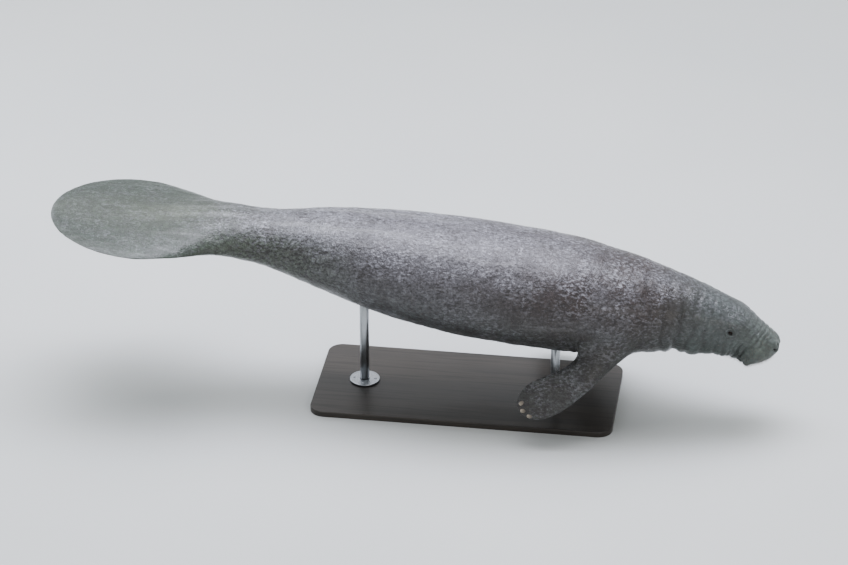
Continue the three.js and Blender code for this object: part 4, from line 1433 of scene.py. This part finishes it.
# %% Lacquered board
lacquer, tree, shader = new_material("stained_lacquered_birch")
grain = noise_of(tree, 5, 4, 0.6, stretch=(0.03, 1, 1))
stain = node(tree, "ShaderNodeValToRGB", {"Fac": noise_of(tree, 60, 3, 0.5, stretch=(0.12, 1, 1), shift=5)},
             stops=((0.35, "#34302c"), (0.65, "#433d37")))
stain = lay(tree, stain, "#231f1c", (5, 0.46, 0.66, 4, 0.6, 0.0, (0.03, 1, 1)), 0.55)
height = node(tree, "ShaderNodeMath", {0: noise_of(tree, 9), 1: 0.2, 2: grain}, operation="MULTIPLY_ADD")
lacquer_bump = node(tree, "ShaderNodeBump", {"Height": height, "Strength": 0.5, "Distance": 0.16 * MM})
satin = node(tree, "ShaderNodeValToRGB", {"Fac": noise_of(tree, 70, 3, 0.5, shift=9)},
             stops=((0.3, 0.34), (0.7, 0.42)))
plug(tree, shader, {"Base Color": stain, "Normal": lacquer_bump, "Roughness": satin, "Coat Weight": 0.25,
                    "Coat Roughness": 0.2})
settle(board, lacquer, "stand_board", "stand_base")
print("board lacquered")

# %% [markdown]
# Brushed steel is a bright metal whose fine scratches all run one way, so its shine is drawn out
# across them. On the rods they run upwards. On a turned flange they are rings, so they follow the
# stored path of the lathe's tool.

# %% Brushed and turned steel


def satin_steel(name, pattern_of, hex_code):
    """Stainless steel whose brush marks are the pattern that pattern_of draws in the tree."""
    made, tree, shader = new_material(name)
    marks = pattern_of(tree)
    shade = lay(tree, colour(hex_code), "#c3c6c9", marks)
    shade = lay(tree, shade, "#8c8f93", (120, 0.5, 0.7, 3, 0.6), 0.25)
    worn = node(tree, "ShaderNodeValToRGB", {"Fac": marks}, stops=((0.3, 0.24), (0.7, 0.38)))
    scratches = node(tree, "ShaderNodeBump", {"Height": marks, "Strength": 0.25, "Distance": 0.05 * MM})
    plug(tree, shader, {"Base Color": shade, "Roughness": worn, "Normal": scratches, "Metallic": 1.0})
    return made


def rings_of_the_lathe(tree):
    path = node(tree, "ShaderNodeAttribute", attribute_name="lathe_path").outputs["Fac"]
    return node(tree, "ShaderNodeTexNoise", {"W": path, "Scale": 1.2, "Detail": 3.0},
                noise_dimensions="1D").outputs["Fac"]


def lines_along_the_rod(tree):
    return noise_of(tree, 1.2, 3, 0.6, stretch=(1, 1, 0.02))


drawn_steel = satin_steel("drawn_brushed_steel", lines_along_the_rod, "#a4a7aa")
turned_steel = satin_steel("turned_satin_steel", rings_of_the_lathe, "#9c9fa3")
for name, x in ROD_PLACES.items():
    settle(rods[name], drawn_steel, "stand_steel", f"stand_rod_{name}")
    settle(rings[name], turned_steel, "stand_steel", f"stand_flange_{name}")
    y = float(spine[index_near(spine[:, 0], x), 1])
    screws = grown(f"stand_screws_{name}", screw_head, screw_tree, {
        "Head": screw_head, "Circle": SCREW_CIRCLE * MM, "Number": SCREWS,
        "Centre": (x * MM, y * MM, (flange_top - 0.1) * MM), "Material": turned_steel})
    settle(screws, None, "stand_steel")
    print(name, "screws:", len(screws.data.polygons), "faces")
bpy.data.objects.remove(screw_head)

# %% [markdown]
# ## Bristles and hairs
# Stiff bristles grow on the lip pads and chin, and the rest of the body has one fine hair about every
# two centimetres. They are far too many to place by hand. A tree scatters roots over the hide, no two
# too close, and stands a strand on each. The strand leans along the hide and turns a little, by chance
# from a fixed seed. Every strand keeps its root's place on the flat map, so it takes its colour there.

# %% Where they grow
top_angle = hide_round * 180
bare = 1 - np.clip(rims * 2 + smooth(folds, 0.5, 0.9) * 0.5, 0, 1)
pads = (1 - smooth(hide_at, 84, 112)) * (0.30 + 0.70 * band(top_angle, 58, 180, 24))
pads *= 1 - 0.5 * smooth(-hide_at, -12, 0)
chin = band(hide_at, 84, 150, 20) * smooth(top_angle, 128, 146) * 0.7
on_nose = (1 - smooth(hide_at, 20, 60)) * (1 - smooth(top_angle, 38, 60)) * 0.6
bristle_mask = np.clip(np.maximum(pads, chin) - on_nose, 0, 1) * bare
cheeks = (1 - smooth(hide_at, 150, 420)) * 0.5
hair_mask = np.clip(smooth(hide_at, 96, 150) * (0.5 + cheeks), 0, 1) * bare * smooth(eye_gap, 12, 20)
hair_mask *= 1 - 0.6 * smooth(hide_at, 2650, 2990)
store(hide, bristle_density=bristle_mask, hair_density=hair_mask)
print("bristles on", round(float((bristle_mask > 0.3).mean() * 100), 1), "% of the points")

# %% One strand
STRAND_MAP_SIZE = 0.003


def strand(name, levels):
    """A three-sided tapered strand, one metre tall and half a metre thick, to be scaled."""
    points, flat = [], []
    for level in range(levels):
        t = level / levels
        for corner in range(3):
            a = corner / 3 * 2 * np.pi
            r = 0.5 * (1 - t) ** 0.7
            points.append((r * math.cos(a), r * math.sin(a), t))
            flat.append((corner / 3 - 0.5, t - 0.5, 0))
    points.append((0, 0, 1))
    flat.append((0, 0.5, 0))
    tip = len(points) - 1
    faces = [(2, 1, 0)] + band_faces(levels, 3)
    faces += [((levels - 1) * 3 + a, (levels - 1) * 3 + b, tip) for a, b in ((0, 1), (1, 2), (2, 0))]
    obj = mesh_object(name, np.array(points) * 1000, faces)
    values = [value for triple in flat for value in triple]
    obj.data.attributes.new("strand_map", "FLOAT_VECTOR", "POINT").data.foreach_set("vector", values)
    return obj


strands = {"bristle": strand("bristle_strand", 4), "hair": strand("hair_strand", 3)}
print("a strand has", len(strands["bristle"].data.polygons), "faces")

# %% The scattering tree
hair_tree, given = new_tree("strands_on_hide", {
    "Strand": "Object", "Density": "String", "Number per square metre": "Float", "Spacing": "Float",
    "Shortest": "Float", "Longest": "Float", "Thickness": "Float", "Lean": "Float", "Disorder": "Float",
    "Bend": "Float", "Lie": "Vector", "Seed": "Int", "Material": "Material"})


def grow(kind, inputs=None, **settings):
    return node(hair_tree, kind, inputs, **settings)


chosen = grow("GeometryNodeInputNamedAttribute", {"Name": given["Density"]}, data_type="FLOAT")
roots = grow("GeometryNodeDistributePointsOnFaces", {
    "Mesh": given["Geometry"], "Distance Min": given["Spacing"],
    "Density Max": given["Number per square metre"], "Density Factor": chosen, "Seed": given["Seed"]},
    distribute_method="POISSON")
flat_place = grow("GeometryNodeInputNamedAttribute", {"Name": "OFBake"}, data_type="FLOAT_VECTOR")
marked = grow("GeometryNodeStoreNamedAttribute", {
    "Geometry": roots.outputs["Points"], "Name": "root_place", "Value": flat_place},
    data_type="FLOAT_VECTOR", domain="POINT")
bare_points = grow("GeometryNodeRemoveAttribute", {"Geometry": marked, "Name": "OFBake"})
print("roots scattered by", len(hair_tree.nodes), "nodes")

# %% Stand a strand on each root
length = grow("FunctionNodeRandomValue", {2: given["Shortest"], 3: given["Longest"], "Seed": given["Seed"]},
              data_type="FLOAT").outputs[1]
scatter = grow("FunctionNodeRandomValue", {0: (-1, -1, -1), 1: (1, 1, 1), "Seed": 3},
               data_type="FLOAT_VECTOR")
scatter = grow("ShaderNodeVectorMath", {0: scatter, "Scale": given["Disorder"]}, operation="SCALE")
leaning = grow("ShaderNodeVectorMath", {0: given["Lie"], "Scale": given["Lean"]}, operation="SCALE")
leaning = grow("ShaderNodeVectorMath", {0: roots.outputs["Normal"], 1: leaning}, operation="ADD")
way = grow("ShaderNodeVectorMath", {0: leaning, 1: scatter}, operation="ADD")
standing = grow("GeometryNodeInstanceOnPoints", {
    "Points": bare_points,
    "Instance": grow("GeometryNodeObjectInfo", {"Object": given["Strand"]}).outputs["Geometry"],
    "Rotation": grow("FunctionNodeAlignRotationToVector", {"Vector": way}, axis="Z"),
    "Scale": grow("ShaderNodeCombineXYZ", {"X": given["Thickness"], "Y": given["Thickness"], "Z": length})})
realized = grow("GeometryNodeRealizeInstances", {"Geometry": standing})

# Bend every strand along the lie of the coat, most at its tip
strand_place = grow("GeometryNodeInputNamedAttribute", {"Name": "strand_map"}, data_type="FLOAT_VECTOR")
height_share = grow("ShaderNodeMath", {
    0: grow("ShaderNodeSeparateXYZ", {0: strand_place}).outputs["Y"], 1: 0.5}, operation="ADD")
squared = grow("ShaderNodeMath", {0: height_share, 1: height_share}, operation="MULTIPLY")
amount = grow("ShaderNodeMath", {0: squared, 1: given["Bend"]}, operation="MULTIPLY")
offset = grow("ShaderNodeVectorMath", {0: given["Lie"], "Scale": amount}, operation="SCALE")
bent = grow("GeometryNodeSetPosition", {"Geometry": realized, "Offset": offset})
print("strands stand and bend by", len(hair_tree.nodes), "nodes")

# %% Keep the root's place on the flat map
root_place = grow("GeometryNodeInputNamedAttribute", {"Name": "root_place"}, data_type="FLOAT_VECTOR")
local = grow("ShaderNodeVectorMath", {0: strand_place, "Scale": STRAND_MAP_SIZE}, operation="SCALE")
local = grow("ShaderNodeVectorMath", {0: root_place, 1: local}, operation="ADD")
mapped = grow("GeometryNodeStoreNamedAttribute", {"Geometry": bent, "Name": "OFBake", "Value": local},
              data_type="FLOAT2", domain="CORNER")
finish = grow("GeometryNodeSetMaterial", {"Geometry": mapped, "Material": given["Material"]})
grow("NodeGroupOutput", {0: finish})
print("tree with", len(hair_tree.nodes), "nodes")

# %% [markdown]
# A bristle is stout and straw grey, like a worn nylon brush. A body hair is thin and nearly clear.
# Both are keratin, so they share one finish, a little darker at the root.

# %% Grow them
keratin, tree, shader = new_material("pale_keratin_hair")
tint = node(tree, "ShaderNodeValToRGB", {"Fac": noise_of(tree, 8, 2, 0.5)},
            stops=((0.35, "#7d7468"), (0.65, "#b1a794")))
strand_place = node(tree, "ShaderNodeAttribute", attribute_name="strand_map").outputs["Vector"]
up_strand = node(tree, "ShaderNodeSeparateXYZ", {0: strand_place}).outputs["Y"]
near_root = node(tree, "ShaderNodeMapRange", {"Value": up_strand, "From Min": 0.1, "From Max": -0.5})
tint = lay(tree, tint, "#5c544b", near_root)
plug(tree, shader, {"Base Color": tint, "Roughness": 0.38, "IOR": 1.55})

COATS = {
    "muzzle_bristles": {
        "Strand": strands["bristle"], "Density": "bristle_density", "Number per square metre": 52000.0,
        "Spacing": 3.6 * MM, "Shortest": 4.5 * MM, "Longest": 13.0 * MM, "Thickness": 0.68 * MM,
        "Lean": 0.2, "Disorder": 0.42, "Bend": 2.6 * MM, "Lie": (-0.3, 0.0, -1.0), "Seed": 21},
    "body_hairs": {
        "Strand": strands["hair"], "Density": "hair_density", "Number per square metre": 4200.0,
        "Spacing": 15.0 * MM, "Shortest": 8.0 * MM, "Longest": 20.0 * MM, "Thickness": 0.34 * MM,
        "Lean": 1.3, "Disorder": 0.35, "Bend": 5.0 * MM, "Lie": (-1.0, 0.0, -0.12), "Seed": 34},
}
for name, values in COATS.items():
    coat = grown(name, hide, hair_tree, {**values, "Material": keratin})
    settle(coat, None, "hide")
    print(name, len(coat.data.polygons), "faces, maps", [layer.name for layer in coat.data.uv_layers])
for piece in strands.values():
    bpy.data.objects.remove(piece)

# %% [markdown]
# ## Room and light
# The model stands on a wide pale floor. The main light is a very soft sun high over the back, like
# the bright middle of an overcast sky. It lights the floor evenly out to the horizon and gives the
# wet back its long soft shine, with the help of a large panel behind it. Two small ones open the
# shadow side and trace the tail's edge.

# %% Studio
FLOOR_HALF = 150.0
floor_mesh = bpy.data.meshes.new("floor")
corners = [(x * FLOOR_HALF, y * FLOOR_HALF, 0) for x, y in ((-1, -1), (1, -1), (1, 1), (-1, 1))]
floor_mesh.from_pydata(corners, [], [(0, 1, 2, 3)])
floor = bpy.data.objects.new("floor", floor_mesh)
bpy.context.scene.collection.objects.link(floor)
pale_floor, tree, shader = new_material("pale_matte_floor")
plain = node(tree, "ShaderNodeValToRGB", {"Fac": noise_of(tree, 900, 2, 0.5)},
             stops=((0.3, "#c9cbca"), (0.7, "#cfd0ce")))
plug(tree, shader, {"Base Color": plain, "Roughness": 0.85})
floor_mesh.materials.append(pale_floor)


def soft_light(name, place, target, size, watts, hex_code):
    """A lamp that looks at the target: a panel of that size in metres, or a sun if size is one angle."""
    data = bpy.data.lights.new(name, "AREA" if isinstance(size, tuple) else "SUN")
    if data.type == "AREA":
        data.shape = "RECTANGLE"
        data.size, data.size_y = size
    else:
        data.angle = math.radians(size)
    data.energy = watts
    data.color = colour(hex_code)[:3]
    obj = bpy.data.objects.new(name, data)
    obj.location = place
    obj.rotation_euler = (Vector(target) - Vector(place)).to_track_quat("-Z", "Y").to_euler()
    bpy.context.scene.collection.objects.link(obj)


soft_light("high_sky", (-0.5, 1.6, 5.0), (-0.2, 0, 0.5), 56, 2.25, "#f7f8ff")
soft_light("over_the_back", (-0.3, 1.0, 4.2), (-0.2, 0, 0.5), (4.6, 1.6), 130, "#eceeff")
soft_light("from_the_camera_side", (2.8, -4.2, 2.4), (0, 0, 0.5), (2.2, 1.6), 26, "#fff8ee")
soft_light("behind_the_tail", (-3.8, 2.6, 2.2), (-0.5, 0, 0.6), (1.8, 1.4), 26, "#eef4ff")
world = bpy.data.worlds.new("pale_room")
bpy.context.scene.world = world
world.use_nodes = True
plug(world.node_tree, world.node_tree.nodes["Background"], {"Color": colour("#dfe3e6"), "Strength": 0.82})
bpy.context.scene.view_settings.view_transform = "AgX"
bpy.context.scene.view_settings.look = "AgX - Medium High Contrast"
print("four soft lights and a pale room")
